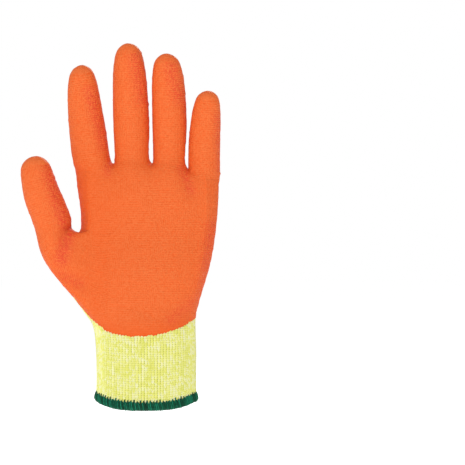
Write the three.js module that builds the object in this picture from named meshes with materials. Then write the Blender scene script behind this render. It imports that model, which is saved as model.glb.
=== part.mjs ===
// A knitted work glove for the left hand, dipped in latex over the palm, the fingers and the thumb.
// Millimetres. +Z runs up the hand to the fingertips, the palm faces -Y and the thumb lies towards -X.
// The origin is the middle of the wrist opening, at the lowest point of the hem.
//
// The outer face of the knit is one smooth surface. It comes from a coarse cage of four-sided faces, worked out
// from the tables of sections below and fitted so that the smooth surface runs through the sections.
// Every piece is a stretch of that surface, made into a wall between two distances from it.
import * as THREE from "three";

// Walls and clearances
const KNIT_WALL = 1.5;
const COAT_WALL = 0.9;
const COAT_CLEARANCE = 0.3;
const ZONE_CLEARANCE = 0.3;
const OVERLOCK_WALL = 1.1;
const OVERLOCK_CLEARANCE = 0.3;
const OVERLOCK_REACH = 3.6;

// Wrist cuff, from the rim of the knit to the wrist. The rim hangs lower at the front and back by its sag.
const CUFF_WIDTH = 67.4;
const CUFF_DEPTH = 47;
const CUFF_HEIGHT = 54;
const RIM_SAG = 5;
const RIM_CURVE = 3;

// Palm, from the wrist to the finger crotches
const PALM_LENGTH = 111;
const PALM_DEPTH = 31;
const FINGER_GAP = 3.8;
const CROTCH_LIFT = 4.5;

// Fingers, from the crotch line to the tip. Crotch is how far the root lies above the crotch line.
const FINGERS = [
  { name: "index", width: 24.3, depth: 20.6, length: 67.9, crotch: 0 },
  { name: "middle", width: 22.2, depth: 20.6, length: 80.8, crotch: 1.5 },
  { name: "ring", width: 20.4, depth: 20, length: 74.7, crotch: 0.5 },
  { name: "little", width: 20, depth: 17.8, length: 55.6, crotch: -5.5 },
];
// How each finger lies: splay leans it towards the thumb, in degrees, bow is how far its middle lies away from
// the thumb, curl is how far its tip comes forward, and taper is the share of its width that it loses.
const POSTURES = {
  index: { splay: 6.1, bow: -1, curl: 10, taper: 0.19 },
  middle: { splay: 1.6, bow: 0, curl: 12, taper: 0.01 },
  ring: { splay: 1.1, bow: 1, curl: 12, taper: -0.08 },
  little: { splay: -3, bow: -1, curl: 9, taper: 0.08 },
};
// The tongue on the back of a finger that stays uncoated: the share of the finger's length that it reaches, how
// many degrees it is turned towards the thumb, and its breadth as a share of the usual.
const TONGUES = {
  index: { top: 0.64, turn: 14, breadth: 1 },
  middle: { top: 0.71, turn: -14, breadth: 1 },
  ring: { top: 0.75, turn: -16, breadth: 1 },
  little: { top: 0.7, turn: -8, breadth: 0.68 },
};

// Thumb, from the side of the palm to its tip. Roll turns its pad towards the fingers, in degrees.
const THUMB_LENGTH = 82.5;
const THUMB_WIDTH = 22.4;
const THUMB_DEPTH = 21;
const THUMB_ROLL = 38;

// Edge of the latex over the heel of the hand: its lowest height, where across the wrist that lies, how much it
// climbs to the thumb's side and the little finger's over half the cuff's width and how steeply, how many half
// widths out it stops climbing, and its climb for each millimetre towards the back.
const DIP_HEIGHT = 51;
const DIP_MIDDLE = -8;
const DIP_CLIMB_RADIAL = 15;
const DIP_CLIMB_ULNAR = 6.8;
const DIP_CURVE = 2.5;
const DIP_SPREAD = 1.25;
const DIP_BACK_SLOPE = 2.2;

// Sections of the cuff: shares of its height, of half its width to the thumb's side and the little finger's, of
// half its depth, and of the rim's sag.
const CUFF_ROWS = [
  { up: 0, radial: 1.05, ulnar: 1.015, depth: 1.02, sag: 1 },
  { up: 0.16, radial: 1.035, ulnar: 1, depth: 1, sag: 0.8 },
  { up: 0.56, radial: 1.035, ulnar: 1, depth: 0.99, sag: 0.3 },
  { up: 1, radial: 1.1, ulnar: 0.985, depth: 0.98, sag: 0 },
];
// Sections of the palm, the last one through the finger roots. Up is a share of its length. Radial and ulnar
// are the reach of the thumb's side and the little finger's, as shares of the width across the finger roots.
// Front and back are shares of the depth, and so is side, how far back the thumb's side lies.
const PALM_ROWS = [
  { up: 0.13, radial: 0.472, ulnar: 0.352, front: 0.68, back: 0.58, side: 0.08 },
  { up: 0.35, radial: 0.478, ulnar: 0.425, front: 0.66, back: 0.5, side: 0.2 },
  { up: 0.585, radial: 0.472, ulnar: 0.472, front: 0.53, back: 0.47, side: 0.19 },
  { up: 0.8, radial: 0.476, ulnar: 0.492, front: 0.48, back: 0.44, side: 0.03 },
  { up: 1, radial: 0.5, ulnar: 0.5, front: 0.42, back: 0.4, side: 0 },
];
// How the same sections are shaped: square is the exponent of the outline, and fan how far its columns follow
// the fingers. The wraps are the degrees that the latex turns round the thumb's side and the little finger's.
const PALM_SHAPES = [
  { square: 2.15, fan: 0.3, radialWrap: 2, ulnarWrap: 4 },
  { square: 2.3, fan: 0.6, radialWrap: 0, ulnarWrap: 8 },
  { square: 2.4, fan: 0.7, radialWrap: 2, ulnarWrap: 14 },
  { square: 2.5, fan: 0.9, radialWrap: 4, ulnarWrap: 16 },
  { square: 2.6, fan: 1, radialWrap: 4, ulnarWrap: 16 },
];
const CUFF_SHAPE = { square: 2, fan: 0, radialWrap: 2, ulnarWrap: 3 };
// Between two fingers the depth at the roots is only this share.
const ROOT_GROOVE = 0.74;
const THUMB_ROOT_ROW = 1;
const THUMB_BASE_BANDS = 2;
const EDGE_COLUMN = 0.87;

// Sections of a finger: shares of its length, width and depth.
const FINGER_ROWS = [
  { along: 0.1, width: 1.01, depth: 1 },
  { along: 0.34, width: 1.03, depth: 0.98 },
  { along: 0.58, width: 1, depth: 0.94 },
  { along: 0.79, width: 0.92, depth: 0.86 },
  { along: 0.93, width: 0.7, depth: 0.68 },
];
// Half the angle that stays bare on the back of a finger, by the share of the tongue's reach.
const TONGUE_ROWS = [
  { reach: 0, half: 84 },
  { reach: 0.4, half: 62 },
  { reach: 0.8, half: 34 },
  { reach: 1, half: 0 },
  { reach: 1.4, half: -70 },
];
// Sections of the thumb. Out, up and front place the middle, in shares of the thumb's length. Tilt turns the
// section from level, and bare is half the angle that stays uncoated on its back, both in degrees.
const THUMB_ROWS = [
  { out: 0.154, up: 0.188, front: 0.065, tilt: 60, width: 1.33, depth: 1.16, bare: 54 },
  { out: 0.202, up: 0.372, front: 0.1, tilt: 23, width: 1.07, depth: 1.05, bare: 36 },
  { out: 0.276, up: 0.583, front: 0.14, tilt: 18, width: 1.045, depth: 1, bare: 24 },
  { out: 0.317, up: 0.727, front: 0.165, tilt: 14, width: 0.955, depth: 0.94, bare: -20 },
  { out: 0.345, up: 0.86, front: 0.185, tilt: 11, width: 0.78, depth: 0.74, bare: -80 },
];
const THUMB_TIP = { out: 0.354, up: 0.936, front: 0.195 };

// Creases in the palm's side, from one place to another: shares of the width across the finger roots and of the
// palm's length. Reach is half their width and depth how deep they are pressed in, in millimetres.
const CREASES = [
  { from: [-0.545, 0.6], to: [-0.6, 0.37], reach: 6.5, depth: 2 },
  { from: [-0.58, 0.32], to: [-0.44, 0.27], reach: 5, depth: 1.2 },
  { from: [0.275, 0.94], to: [0.31, 0.82], reach: 5, depth: 1 },
];

// Latex margin in degrees: at the side of the hand's front, what each further column adds, at a web and a tip.
const EDGE_MARGIN = 20;
const COLUMN_MARGIN = 12;
const WEB_MARGIN = 30;
const TIP_MARGIN = 180;
const MARGIN_MM = 0.2;

// A ring round the hand has nine columns in front, one point at each side and nine behind.
const COLUMNS = 8;
const ULNAR_SIDE = COLUMNS + 1;
const FIRST_BACK = COLUMNS + 2;
const RADIAL_SIDE = 2 * COLUMNS + 3;
const DIGIT_POINTS = 8;
const OVERLOCK_SIDES = 6;
const FIT_ROUNDS = 5;
const SNAP_SHARE = 0.2;

const KNIT_COLOR = 0xe6ea86;
const LATEX_COLOR = 0xf5743c;
const OVERLOCK_COLOR = 0x0d6b45;

const radians = THREE.MathUtils.degToRad;
const lerp = THREE.MathUtils.lerp;
const total = (values) => values.reduce((sum, value) => sum + value, 0);

const rootsWidth = total(FINGERS.map((finger) => finger.width)) + FINGER_GAP * (FINGERS.length - 1);
const rimHeight = KNIT_WALL / 2 + OVERLOCK_CLEARANCE + OVERLOCK_WALL;
const wristHeight = rimHeight + CUFF_HEIGHT;
const crotchHeight = wristHeight + PALM_LENGTH;
const rootCentres = FINGERS.map(
  ({ width }, i) => total(FINGERS.slice(0, i).map((f) => f.width + FINGER_GAP)) + (width - rootsWidth) / 2,
);
const webCentres = FINGERS.slice(1).map((_, i) => rootCentres[i] + (FINGERS[i].width + FINGER_GAP) / 2);

// Where the columns lie, in shares of the half width: even round an oval, or on the fingers and between them.
const columnShares = (shareOf) => Array.from({ length: COLUMNS + 1 }, (_, column) => shareOf(column));
const evenShares = columnShares((column) => Math.sin((Math.PI * (column - COLUMNS / 2)) / (COLUMNS + 2)));
const fingerShares = columnShares((column) => {
  if (column === 0 || column === COLUMNS) return Math.sign(column - 1) * EDGE_COLUMN;
  const x = column % 2 ? rootCentres[(column - 1) / 2] : webCentres[column / 2 - 1];
  return (2 * x) / rootsWidth;
});

// The cage: points of x, y, z and the latex margin, four-sided faces, and the zone of the knit each belongs to.
const cage = { points: [], quads: [], zones: [] };

const addPoint = (x, y, z, margin) => cage.points.push([x, y, z, margin]) - 1;

function addFace(corners, zone) {
  cage.quads.push(corners);
  cage.zones.push(zone);
}

// Joins two rings of the same length by faces, with the upper ring further along the hand.
function addBand(lower, upper, zone, isLeftOut = () => false) {
  lower.forEach((_, k) => {
    const next = (k + 1) % lower.length;
    if (!isLeftOut(k)) addFace([lower[k], lower[next], upper[next], upper[k]], zone);
  });
}

// Latex margin of a point round the hand: well inside the coat in front, and past its edge behind.
function handMargin(column, side, row) {
  const columnsIn = Math.min(column, COLUMNS - column);
  const wrap = column < COLUMNS / 2 ? row.radialWrap : row.ulnarWrap;
  return wrap - side * (EDGE_MARGIN + COLUMN_MARGIN * columnsIn);
}

// A ring round the hand, with side -1 for the columns in front and 1 for those behind. Section holds the reach
// to each side and the depth to front and back in millimetres.
function handRing(section, row, heightAt) {
  const place = (column, side) => {
    const share = lerp(evenShares[column], fingerShares[column], row.fan);
    const round = Math.pow(1 - Math.pow(Math.abs(share), row.square), 1 / row.square);
    const isWeb = column % 2 === 0 && column > 0 && column < COLUMNS;
    const depth = (side < 0 ? section.front : section.back) * (isWeb ? section.groove : 1);
    const x = share * (share < 0 ? section.radial : section.ulnar);
    return addPoint(x, side * depth * round, heightAt(column, share), handMargin(column, side, row));
  };
  const front = columnShares((column) => place(column, -1));
  const ulnarSide = addPoint(section.ulnar, 0, heightAt(COLUMNS, 1), row.ulnarWrap);
  const back = columnShares((column) => place(COLUMNS - column, 1));
  const radialSide = addPoint(-section.radial, section.side, heightAt(0, -1), row.radialWrap);
  return [...front, ulnarSide, ...back, radialSide];
}

function cuffRing({ up, radial, ulnar, depth, sag }) {
  const face = (depth * CUFF_DEPTH) / 2;
  const section = {
    radial: (radial * CUFF_WIDTH) / 2,
    ulnar: (ulnar * CUFF_WIDTH) / 2,
    front: face,
    back: face,
    side: 0,
    groove: 1,
  };
  const heightAt = (_, share) => rimHeight + up * CUFF_HEIGHT + sag * RIM_SAG * Math.abs(share) ** RIM_CURVE;
  return handRing(section, CUFF_SHAPE, heightAt);
}

// The last ring of the palm follows the finger roots up and down, a little below the webs.
function palmRing({ up, radial, ulnar, front, back, side }, i) {
  const isAtRoots = i === PALM_ROWS.length - 1;
  const section = {
    radial: radial * rootsWidth,
    ulnar: ulnar * rootsWidth,
    front: front * PALM_DEPTH,
    back: back * PALM_DEPTH,
    side: side * PALM_DEPTH,
    groove: isAtRoots ? ROOT_GROOVE : 1,
  };
  return handRing(section, PALM_SHAPES[i], (column) => {
    const height = wristHeight + up * PALM_LENGTH;
    if (!isAtRoots) return height;
    const before = FINGERS[Math.max(0, Math.ceil(column / 2) - 1)];
    const after = FINGERS[Math.min(FINGERS.length - 1, Math.floor(column / 2))];
    return height - CROTCH_LIFT + (before.crotch + after.crotch) / 2;
  });
}

// A ring of eight points round a digit. Angles run from across towards back, and the latex margin of a point is
// its angle from the middle of the bare tongue, less half the tongue's angle.
function digitRing({ middle, across, back, width, depth, firstAngle, bareAngle, bareHalf }) {
  return Array.from({ length: DIGIT_POINTS }, (_, k) => {
    const angle = firstAngle + (k * 360) / DIGIT_POINTS;
    const point = middle.clone();
    point.addScaledVector(across, (width / 2) * Math.cos(radians(angle)));
    point.addScaledVector(back, (depth / 2) * Math.sin(radians(angle)));
    const off = Math.abs(THREE.MathUtils.euclideanModulo(angle - bareAngle + 180, 360) - 180);
    return addPoint(...point, off - bareHalf);
  });
}

// Closes a digit with four faces round one point at its tip.
function addTip(ring, tip, zone) {
  const top = addPoint(...tip, TIP_MARGIN);
  for (let k = 0; k < DIGIT_POINTS; k += 2)
    addFace([ring[k], ring[k + 1], ring[(k + 2) % DIGIT_POINTS], top], zone);
}

// The rings of a digit, from its root to its tip. The first bands may belong to a zone of their own.
function addDigit(root, rings, tip, zone, baseZone = zone, baseBands = 0) {
  rings.forEach((ring, i) => addBand(i ? rings[i - 1] : root, ring, i < baseBands ? baseZone : zone));
  addTip(rings[rings.length - 1], tip, zone);
}

// A value between the rows of a table, straight from row to row.
function between(rows, key, place, value) {
  const high = rows.findIndex((row) => row[key] >= place);
  if (high < 1) return rows[high === 0 ? 0 : rows.length - 1][value];
  const [before, after] = [rows[high - 1], rows[high]];
  return lerp(before[value], after[value], (place - before[key]) / (after[key] - before[key]));
}

function addFinger(finger, centre, root) {
  const posture = POSTURES[finger.name];
  const tongue = TONGUES[finger.name];
  const lean = radians(posture.splay);
  const start = crotchHeight - CROTCH_LIFT + finger.crotch;
  const length = finger.length + CROTCH_LIFT;
  const middleAt = (along) =>
    new THREE.Vector3(
      centre - Math.sin(lean) * along * length + 4 * posture.bow * along * (1 - along),
      -posture.curl * along * along,
      start + Math.cos(lean) * along * length,
    );
  const rings = FINGER_ROWS.map((row) => {
    const pitch = Math.atan2(2 * posture.curl * row.along, length);
    return digitRing({
      middle: middleAt(row.along),
      across: new THREE.Vector3(Math.cos(lean), 0, Math.sin(lean)),
      back: new THREE.Vector3(0, Math.cos(pitch), Math.sin(pitch)),
      width: finger.width * row.width * (1 - posture.taper * row.along),
      depth: finger.depth * row.depth,
      firstAngle: 225,
      bareAngle: 90 + tongue.turn,
      bareHalf: tongue.breadth * between(TONGUE_ROWS, "reach", row.along / tongue.top, "half"),
    });
  });
  addDigit(root, rings, middleAt(1), "knit_" + finger.name);
}

function addThumb(root, start) {
  const middleOf = ({ out, up, front }) =>
    new THREE.Vector3(-out, -front, up).multiplyScalar(THUMB_LENGTH).add(start);
  const rings = THUMB_ROWS.map((row) =>
    digitRing({
      middle: middleOf(row),
      across: new THREE.Vector3(Math.cos(radians(row.tilt)), 0, Math.sin(radians(row.tilt))),
      back: new THREE.Vector3(0, 1, 0),
      width: THUMB_WIDTH * row.width,
      depth: THUMB_DEPTH * row.depth,
      firstAngle: 135,
      bareAngle: 90 + THUMB_ROLL,
      bareHalf: row.bare,
    }),
  );
  addDigit(root, rings, middleOf(THUMB_TIP), "knit_thumb", "knit_thumb_base", THUMB_BASE_BANDS);
}

function buildCage() {
  const cuff = CUFF_ROWS.map(cuffRing);
  cuff.slice(1).forEach((ring, i) => addBand(cuff[i], ring, "knit_cuff"));
  const hand = [cuff[cuff.length - 1], ...PALM_ROWS.map(palmRing)];
  hand.slice(1).forEach((ring, i) => {
    const isBesideThumb = i === THUMB_ROOT_ROW || i === THUMB_ROOT_ROW + 1;
    addBand(hand[i], ring, "knit_palm", (k) => isBesideThumb && (k === RADIAL_SIDE || k === 0));
  });

  const roots = hand[hand.length - 1];
  const webs = webCentres.map((x, i) => {
    const [, , height] = cage.points[roots[2 * i + 2]];
    return addPoint(x, 0, height + CROTCH_LIFT, WEB_MARGIN);
  });
  const sides = [roots[RADIAL_SIDE], ...webs, roots[ULNAR_SIDE]];
  FINGERS.forEach((finger, i) => {
    const front = roots.slice(2 * i, 2 * i + 3);
    const back = [2, 1, 0].map((k) => roots[FIRST_BACK + COLUMNS - (2 * i + k)]);
    addFinger(finger, rootCentres[i], [...front, sides[i + 1], ...back, sides[i]]);
  });

  const [below, beside, above] = hand.slice(THUMB_ROOT_ROW, THUMB_ROOT_ROW + 3);
  const thumbRoot = [
    below[RADIAL_SIDE], below[0], below[1], beside[1],
    above[1], above[0], above[RADIAL_SIDE], beside[RADIAL_SIDE],
  ];
  const [sideX, , sideZ] = cage.points[beside[RADIAL_SIDE]];
  addThumb(thumbRoot, new THREE.Vector3(sideX, 0, sideZ));
}

// The points beside each point of a mesh of four-sided faces: along its edges, along the open rim, across its
// faces, and the faces themselves. The edges are shared by two faces, or by one at the rim.
function neighbourhood({ points, quads }) {
  const edges = new Map();
  const around = points.map(() => ({ ends: [], rim: [], across: [], faces: [] }));
  quads.forEach((quad, face) =>
    quad.forEach((a, k) => {
      const b = quad[(k + 1) % 4];
      const key = a < b ? a + " " + b : b + " " + a;
      if (!edges.has(key)) edges.set(key, { ends: [a, b], faces: [] });
      edges.get(key).faces.push(face);
      around[a].across.push(quad[(k + 2) % 4]);
      around[a].faces.push(face);
    }),
  );
  for (const { ends: [a, b], faces } of edges.values()) {
    around[a].ends.push(b);
    around[b].ends.push(a);
    if (faces.length === 1) {
      around[a].rim.push(b);
      around[b].rim.push(a);
    }
  }
  return { edges, around };
}

// The sum of points, each list of them by its weight.
function blend(...terms) {
  const sum = [0, 0, 0, 0];
  for (const [weight, points] of terms)
    for (const point of points) point.forEach((value, i) => (sum[i] += weight * value));
  return sum;
}

// One step of Catmull-Clark subdivision: each face becomes four.
function refine(mesh) {
  const { edges, around } = neighbourhood(mesh);
  const at = (list) => list.map((v) => mesh.points[v]);
  const faceMiddles = mesh.quads.map((quad) => blend([1 / 4, at(quad)]));
  const moved = mesh.points.map((point, v) => {
    const { ends, rim, faces } = around[v];
    const n = ends.length;
    if (rim.length) return blend([3 / 4, [point]], [1 / 8, at(rim)]);
    if (!n) return point;
    const middles = faces.map((face) => faceMiddles[face]);
    return blend([1 / (n * n), middles], [1 / (n * n), at(ends)], [(n - 2) / n, [point]]);
  });
  const points = [...moved, ...faceMiddles];
  const edgePoint = new Map();
  for (const [key, { ends, faces }] of edges) {
    const middles = faces.map((face) => faceMiddles[face]);
    const isRim = faces.length === 1;
    points.push(isRim ? blend([1 / 2, at(ends)]) : blend([1 / 4, at(ends)], [1 / 4, middles]));
    edgePoint.set(key, points.length - 1);
  }
  const pointOn = (a, b) => edgePoint.get(a < b ? a + " " + b : b + " " + a);
  const refined = { points, quads: [], zones: [] };
  mesh.quads.forEach(([a, b, c, d], face) => {
    const middle = moved.length + face;
    const [ab, bc, cd, da] = [pointOn(a, b), pointOn(b, c), pointOn(c, d), pointOn(d, a)];
    refined.quads.push([a, ab, middle, da], [ab, b, bc, middle], [middle, bc, c, cd], [da, middle, cd, d]);
    for (let k = 0; k < 4; k++) refined.zones.push(mesh.zones[face]);
  });
  return refined;
}

// Where each point of the mesh ends up on the smooth surface.
function smoothPoints(mesh) {
  const { around } = neighbourhood(mesh);
  const at = (list) => list.map((v) => mesh.points[v]);
  return mesh.points.map((point, v) => {
    const { ends, rim, across } = around[v];
    const n = ends.length;
    if (rim.length) return blend([4 / 6, [point]], [1 / 6, at(rim)]);
    if (!n) return point;
    const whole = n * (n + 5);
    return blend([(n * n) / whole, [point]], [4 / whole, at(ends)], [1 / whole, at(across)]);
  });
}

// Moves the cage's points until the smooth surface runs through the places they were given.
function fit(mesh) {
  const wanted = mesh.points;
  for (let round = 0; round < FIT_ROUNDS; round++) {
    const reached = smoothPoints(mesh);
    mesh.points = mesh.points.map((point, v) => blend([1, [point, wanted[v]]], [-1, [reached[v]]]));
  }
}

// Presses the creases of the palm's side into a point.
function dented([x, y, z]) {
  const point = new THREE.Vector3(x, y, z);
  if (y > 0) return point;
  for (const { from, to, reach, depth } of CREASES) {
    const [start, end] = [from, to].map(([across, up]) => {
      return new THREE.Vector3(across * rootsWidth, y, wristHeight + up * PALM_LENGTH);
    });
    const nearest = new THREE.Line3(start, end).closestPointToPoint(point, true, new THREE.Vector3());
    point.y += depth * Math.exp(-((point.distanceTo(nearest) / reach) ** 2));
  }
  return point;
}

// The surface in triangles, with each point's place, outward normal and latex margin.
function surfaceOf(mesh) {
  const places = smoothPoints(mesh).map(dented);
  const margins = mesh.points.map(([, , , margin]) => margin);
  const normals = places.map(() => new THREE.Vector3());
  const triangles = [];
  const zones = [];
  mesh.quads.forEach((quad, face) => {
    const [a, b, c, d] = quad.map((v) => places[v]);
    const normal = new THREE.Vector3().subVectors(c, a).cross(new THREE.Vector3().subVectors(d, b));
    quad.forEach((v) => normals[v].add(normal));
    const [i, j, k, l] = quad;
    const isShorter = a.distanceTo(c) < b.distanceTo(d);
    triangles.push(...(isShorter ? [[i, j, k], [i, k, l]] : [[i, j, l], [j, k, l]]));
    zones.push(mesh.zones[face], mesh.zones[face]);
  });
  normals.forEach((normal) => normal.normalize());
  return { places, normals, margins, triangles, zones };
}

// The directed edges of a list of triangles that no other triangle shares.
function rimEdges(triangles) {
  const directed = new Set();
  const edges = triangles.flatMap(([a, b, c]) => [[a, b], [b, c], [c, a]]);
  for (const [a, b] of edges) directed.add(a + " " + b);
  return edges.filter(([a, b]) => !directed.has(b + " " + a));
}

// One zone of the knit. Where it meets another zone it stops short by half the clearance.
function zoneOf(surface, zone) {
  const triangles = surface.triangles.filter((_, i) => surface.zones[i] === zone);
  const openRim = new Set(rimEdges(surface.triangles).flat());
  const places = [...surface.places];
  const inwards = new Map();
  for (const edge of rimEdges(triangles)) {
    const [from, to] = edge.map((v) => surface.places[v]);
    for (const v of edge) {
      const inward = new THREE.Vector3().subVectors(to, from).cross(surface.normals[v]).normalize().negate();
      inwards.set(v, [...(inwards.get(v) ?? []), inward]);
    }
  }
  for (const [v, [before, after]] of inwards) {
    if (openRim.has(v)) continue;
    const mitre = new THREE.Vector3().addVectors(before, after);
    places[v] = places[v].clone().addScaledVector(mitre, ZONE_CLEARANCE / (2 * mitre.dot(before)));
  }
  return { ...surface, places, triangles };
}

// How far a point lies inside the latex, in millimetres: round the hand, and above the edge over the heel.
function coatDepth({ places, margins }, v) {
  const { x, y, z } = places[v];
  const offMiddle = Math.min(DIP_SPREAD, Math.abs(x - DIP_MIDDLE) / (CUFF_WIDTH / 2));
  const climb = x < DIP_MIDDLE ? DIP_CLIMB_RADIAL : DIP_CLIMB_ULNAR;
  const edge = DIP_HEIGHT + climb * offMiddle ** DIP_CURVE + DIP_BACK_SLOPE * Math.max(0, y);
  return Math.min(margins[v] * MARGIN_MM, z - edge);
}

// The stretch of a surface where the depth is positive, cut off smoothly where it passes zero.
function cutAtEdge(surface, depthOf) {
  const depths = surface.places.map((_, v) => depthOf(surface, v));
  const crossing = (a, b) => depths[a] / (depths[a] - depths[b]);
  for (const triangle of surface.triangles)
    triangle.forEach((a, k) => {
      const b = triangle[(k + 1) % 3];
      if (depths[a] * depths[b] >= 0) return;
      const share = crossing(a, b);
      if (share < SNAP_SHARE) depths[a] = 0;
      if (share > 1 - SNAP_SHARE) depths[b] = 0;
    });
  const cut = { places: [...surface.places], normals: [...surface.normals], triangles: [] };
  const cutPoints = new Map();
  const pointOn = (a, b) => {
    const key = Math.min(a, b) + " " + Math.max(a, b);
    if (!cutPoints.has(key)) {
      const share = crossing(a, b);
      cut.normals.push(surface.normals[a].clone().lerp(surface.normals[b], share).normalize());
      cutPoints.set(key, cut.places.push(surface.places[a].clone().lerp(surface.places[b], share)) - 1);
    }
    return cutPoints.get(key);
  };
  for (const triangle of surface.triangles) {
    if (!triangle.some((v) => depths[v] > 0)) continue;
    const outline = triangle.flatMap((a, k) => {
      const b = triangle[(k + 1) % 3];
      const kept = depths[a] >= 0 ? [a] : [];
      return depths[a] * depths[b] < 0 ? [...kept, pointOn(a, b)] : kept;
    });
    for (let k = 2; k < outline.length; k++) cut.triangles.push([outline[0], outline[k - 1], outline[k]]);
  }
  return cut;
}

function geometryOf(points, triangles) {
  const position = new Float32Array(points.flatMap((point) => [...point]));
  const geometry = new THREE.BufferGeometry();
  geometry.setAttribute("position", new THREE.BufferAttribute(position, 3));
  geometry.setIndex(triangles.flat());
  geometry.computeVertexNormals();
  return geometry;
}

// A closed wall between two distances from a surface, the inner one first. Its sides are split the same way
// whichever piece they belong to, so that neighbours run side by side.
function wallOn({ places, normals, triangles }, inner, outer) {
  const count = places.length;
  const offset = (distance) => places.map((place, v) => place.clone().addScaledVector(normals[v], distance));
  const sides = rimEdges(triangles).flatMap(([a, b]) =>
    a < b
      ? [[b, a, a + count], [b, a + count, b + count]]
      : [[b, a, b + count], [a, a + count, b + count]],
  );
  const inside = triangles.map(([a, b, c]) => [a + count, c + count, b + count]);
  return geometryOf([...offset(outer), ...offset(inner)], [...triangles, ...inside, ...sides]);
}

// The overlocked edge: a channel over the rim of the cuff, with a round outside, swept round the rim.
function overlockGeometry({ places, normals, triangles }) {
  const nextOnRim = new Map(rimEdges(triangles));
  const loop = [nextOnRim.keys().next().value];
  while (nextOnRim.get(loop[loop.length - 1]) !== loop[0]) loop.push(nextOnRim.get(loop[loop.length - 1]));
  const slot = KNIT_WALL / 2 + OVERLOCK_CLEARANCE;
  const radius = slot + OVERLOCK_WALL;
  const shoulder = OVERLOCK_WALL / 3;
  const arc = Array.from({ length: OVERLOCK_SIDES + 1 }, (_, k) => {
    const angle = (-Math.PI * k) / OVERLOCK_SIDES;
    return [radius * Math.cos(angle), radius * Math.sin(angle)];
  });
  const profile = [
    [slot, OVERLOCK_REACH],
    [radius - shoulder, OVERLOCK_REACH],
    [radius, OVERLOCK_REACH - shoulder],
    ...arc,
    [-radius, OVERLOCK_REACH - shoulder],
    [shoulder - radius, OVERLOCK_REACH],
    [-slot, OVERLOCK_REACH],
    [-slot, -OVERLOCK_CLEARANCE],
    [slot, -OVERLOCK_CLEARANCE],
  ];
  const points = loop.flatMap((v) => {
    const up = new THREE.Vector3();
    for (const triangle of triangles)
      if (triangle.includes(v))
        for (const w of triangle) if (!nextOnRim.has(w)) up.add(places[w]).sub(places[v]);
    up.projectOnPlane(normals[v]).normalize();
    return profile.map(([out, rise]) =>
      places[v].clone().addScaledVector(normals[v], out - KNIT_WALL / 2).addScaledVector(up, rise),
    );
  });
  const faces = loop.flatMap((_, i) =>
    profile.flatMap((_, k) => {
      const [here, there] = [i, (i + 1) % loop.length].map((ring) => ring * profile.length);
      const next = (k + 1) % profile.length;
      return [[here + k, here + next, there + next], [here + k, there + next, there + k]];
    }),
  );
  return geometryOf(points, faces);
}

function piece(name, geometry, color, roughness) {
  const material = new THREE.MeshStandardMaterial({ color, roughness, metalness: 0 });
  const mesh = new THREE.Mesh(geometry, material);
  mesh.name = name;
  return mesh;
}

buildCage();
fit(cage);
const surface = surfaceOf(refine(cage));

const glove = new THREE.Group();
for (const zone of new Set(cage.zones))
  glove.add(piece(zone, wallOn(zoneOf(surface, zone), -KNIT_WALL, 0), KNIT_COLOR, 0.95));
const coated = cutAtEdge(surface, coatDepth);
const coatWall = wallOn(coated, COAT_CLEARANCE, COAT_CLEARANCE + COAT_WALL);
glove.add(piece("latex_coating", coatWall, LATEX_COLOR, 0.6));
glove.add(piece("cuff_overlock", overlockGeometry(surface), OVERLOCK_COLOR, 0.85));

export default glove;
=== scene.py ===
"""Looks of a knitted work glove for the left hand, dipped in orange latex.

Metres. +Z runs up the hand to the fingertips, the palm faces -Y and the thumb lies towards -X. The outer
face of the knit is one smooth surface, worked out from tables of sections. The liner, its stitches, the
latex and the overlocked hem are all laid on that surface.
"""

import logging
import math
from dataclasses import dataclass, field
from enum import Enum

import bmesh
import bpy
import numpy as np
from mathutils import Matrix, Vector, noise


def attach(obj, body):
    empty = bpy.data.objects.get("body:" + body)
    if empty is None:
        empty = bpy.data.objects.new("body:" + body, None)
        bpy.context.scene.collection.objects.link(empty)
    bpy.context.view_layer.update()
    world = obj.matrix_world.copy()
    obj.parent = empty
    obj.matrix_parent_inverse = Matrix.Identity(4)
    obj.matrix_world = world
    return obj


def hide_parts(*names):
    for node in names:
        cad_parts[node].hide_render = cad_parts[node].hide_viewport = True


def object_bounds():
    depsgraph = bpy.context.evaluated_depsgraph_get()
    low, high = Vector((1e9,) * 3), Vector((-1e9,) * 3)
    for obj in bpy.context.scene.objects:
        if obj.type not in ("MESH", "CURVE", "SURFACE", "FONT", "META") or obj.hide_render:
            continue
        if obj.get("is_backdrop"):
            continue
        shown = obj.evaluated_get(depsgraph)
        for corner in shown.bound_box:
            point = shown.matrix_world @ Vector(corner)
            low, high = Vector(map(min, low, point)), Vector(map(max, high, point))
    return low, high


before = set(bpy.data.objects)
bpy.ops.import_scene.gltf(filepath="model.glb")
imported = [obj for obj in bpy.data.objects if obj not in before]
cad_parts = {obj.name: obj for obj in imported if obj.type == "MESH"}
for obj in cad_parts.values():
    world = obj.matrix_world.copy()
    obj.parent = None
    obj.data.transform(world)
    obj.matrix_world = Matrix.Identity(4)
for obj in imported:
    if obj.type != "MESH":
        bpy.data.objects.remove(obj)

MM = 0.001

Bend = tuple[Vector, Vector, Vector]
Colour = tuple[float, float, float]
Array = np.ndarray
log = logging.getLogger("glove")

# A ring round the hand has front columns, its ulnar side, back columns and its radial side.
COLUMNS = 8
ULNAR_SIDE = COLUMNS + 1
FIRST_BACK = COLUMNS + 2
RADIAL_SIDE = 2 * COLUMNS + 3

# The thumb grows out of these two bands of the palm.
THUMB_BANDS = (1, 2)

# A ring round a digit starts at this angle. Angles run from the ulnar side over the back, in degrees.
DIGIT_POINTS = 8
FINGER_FIRST = 225
THUMB_FIRST = 135
STRAIGHT_BACK = 90

# Each face of the cage is halved this many times each way, after its points were moved in some rounds until
# the smooth surface passes through the tables' sections.
LEVELS = 4
STEPS = 2**LEVELS
FIT_ROUNDS = 5

# The corners of a face, as steps of the column and the row.
CORNERS = ((0, 0), (1, 0), (1, 1), (0, 1))

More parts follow.
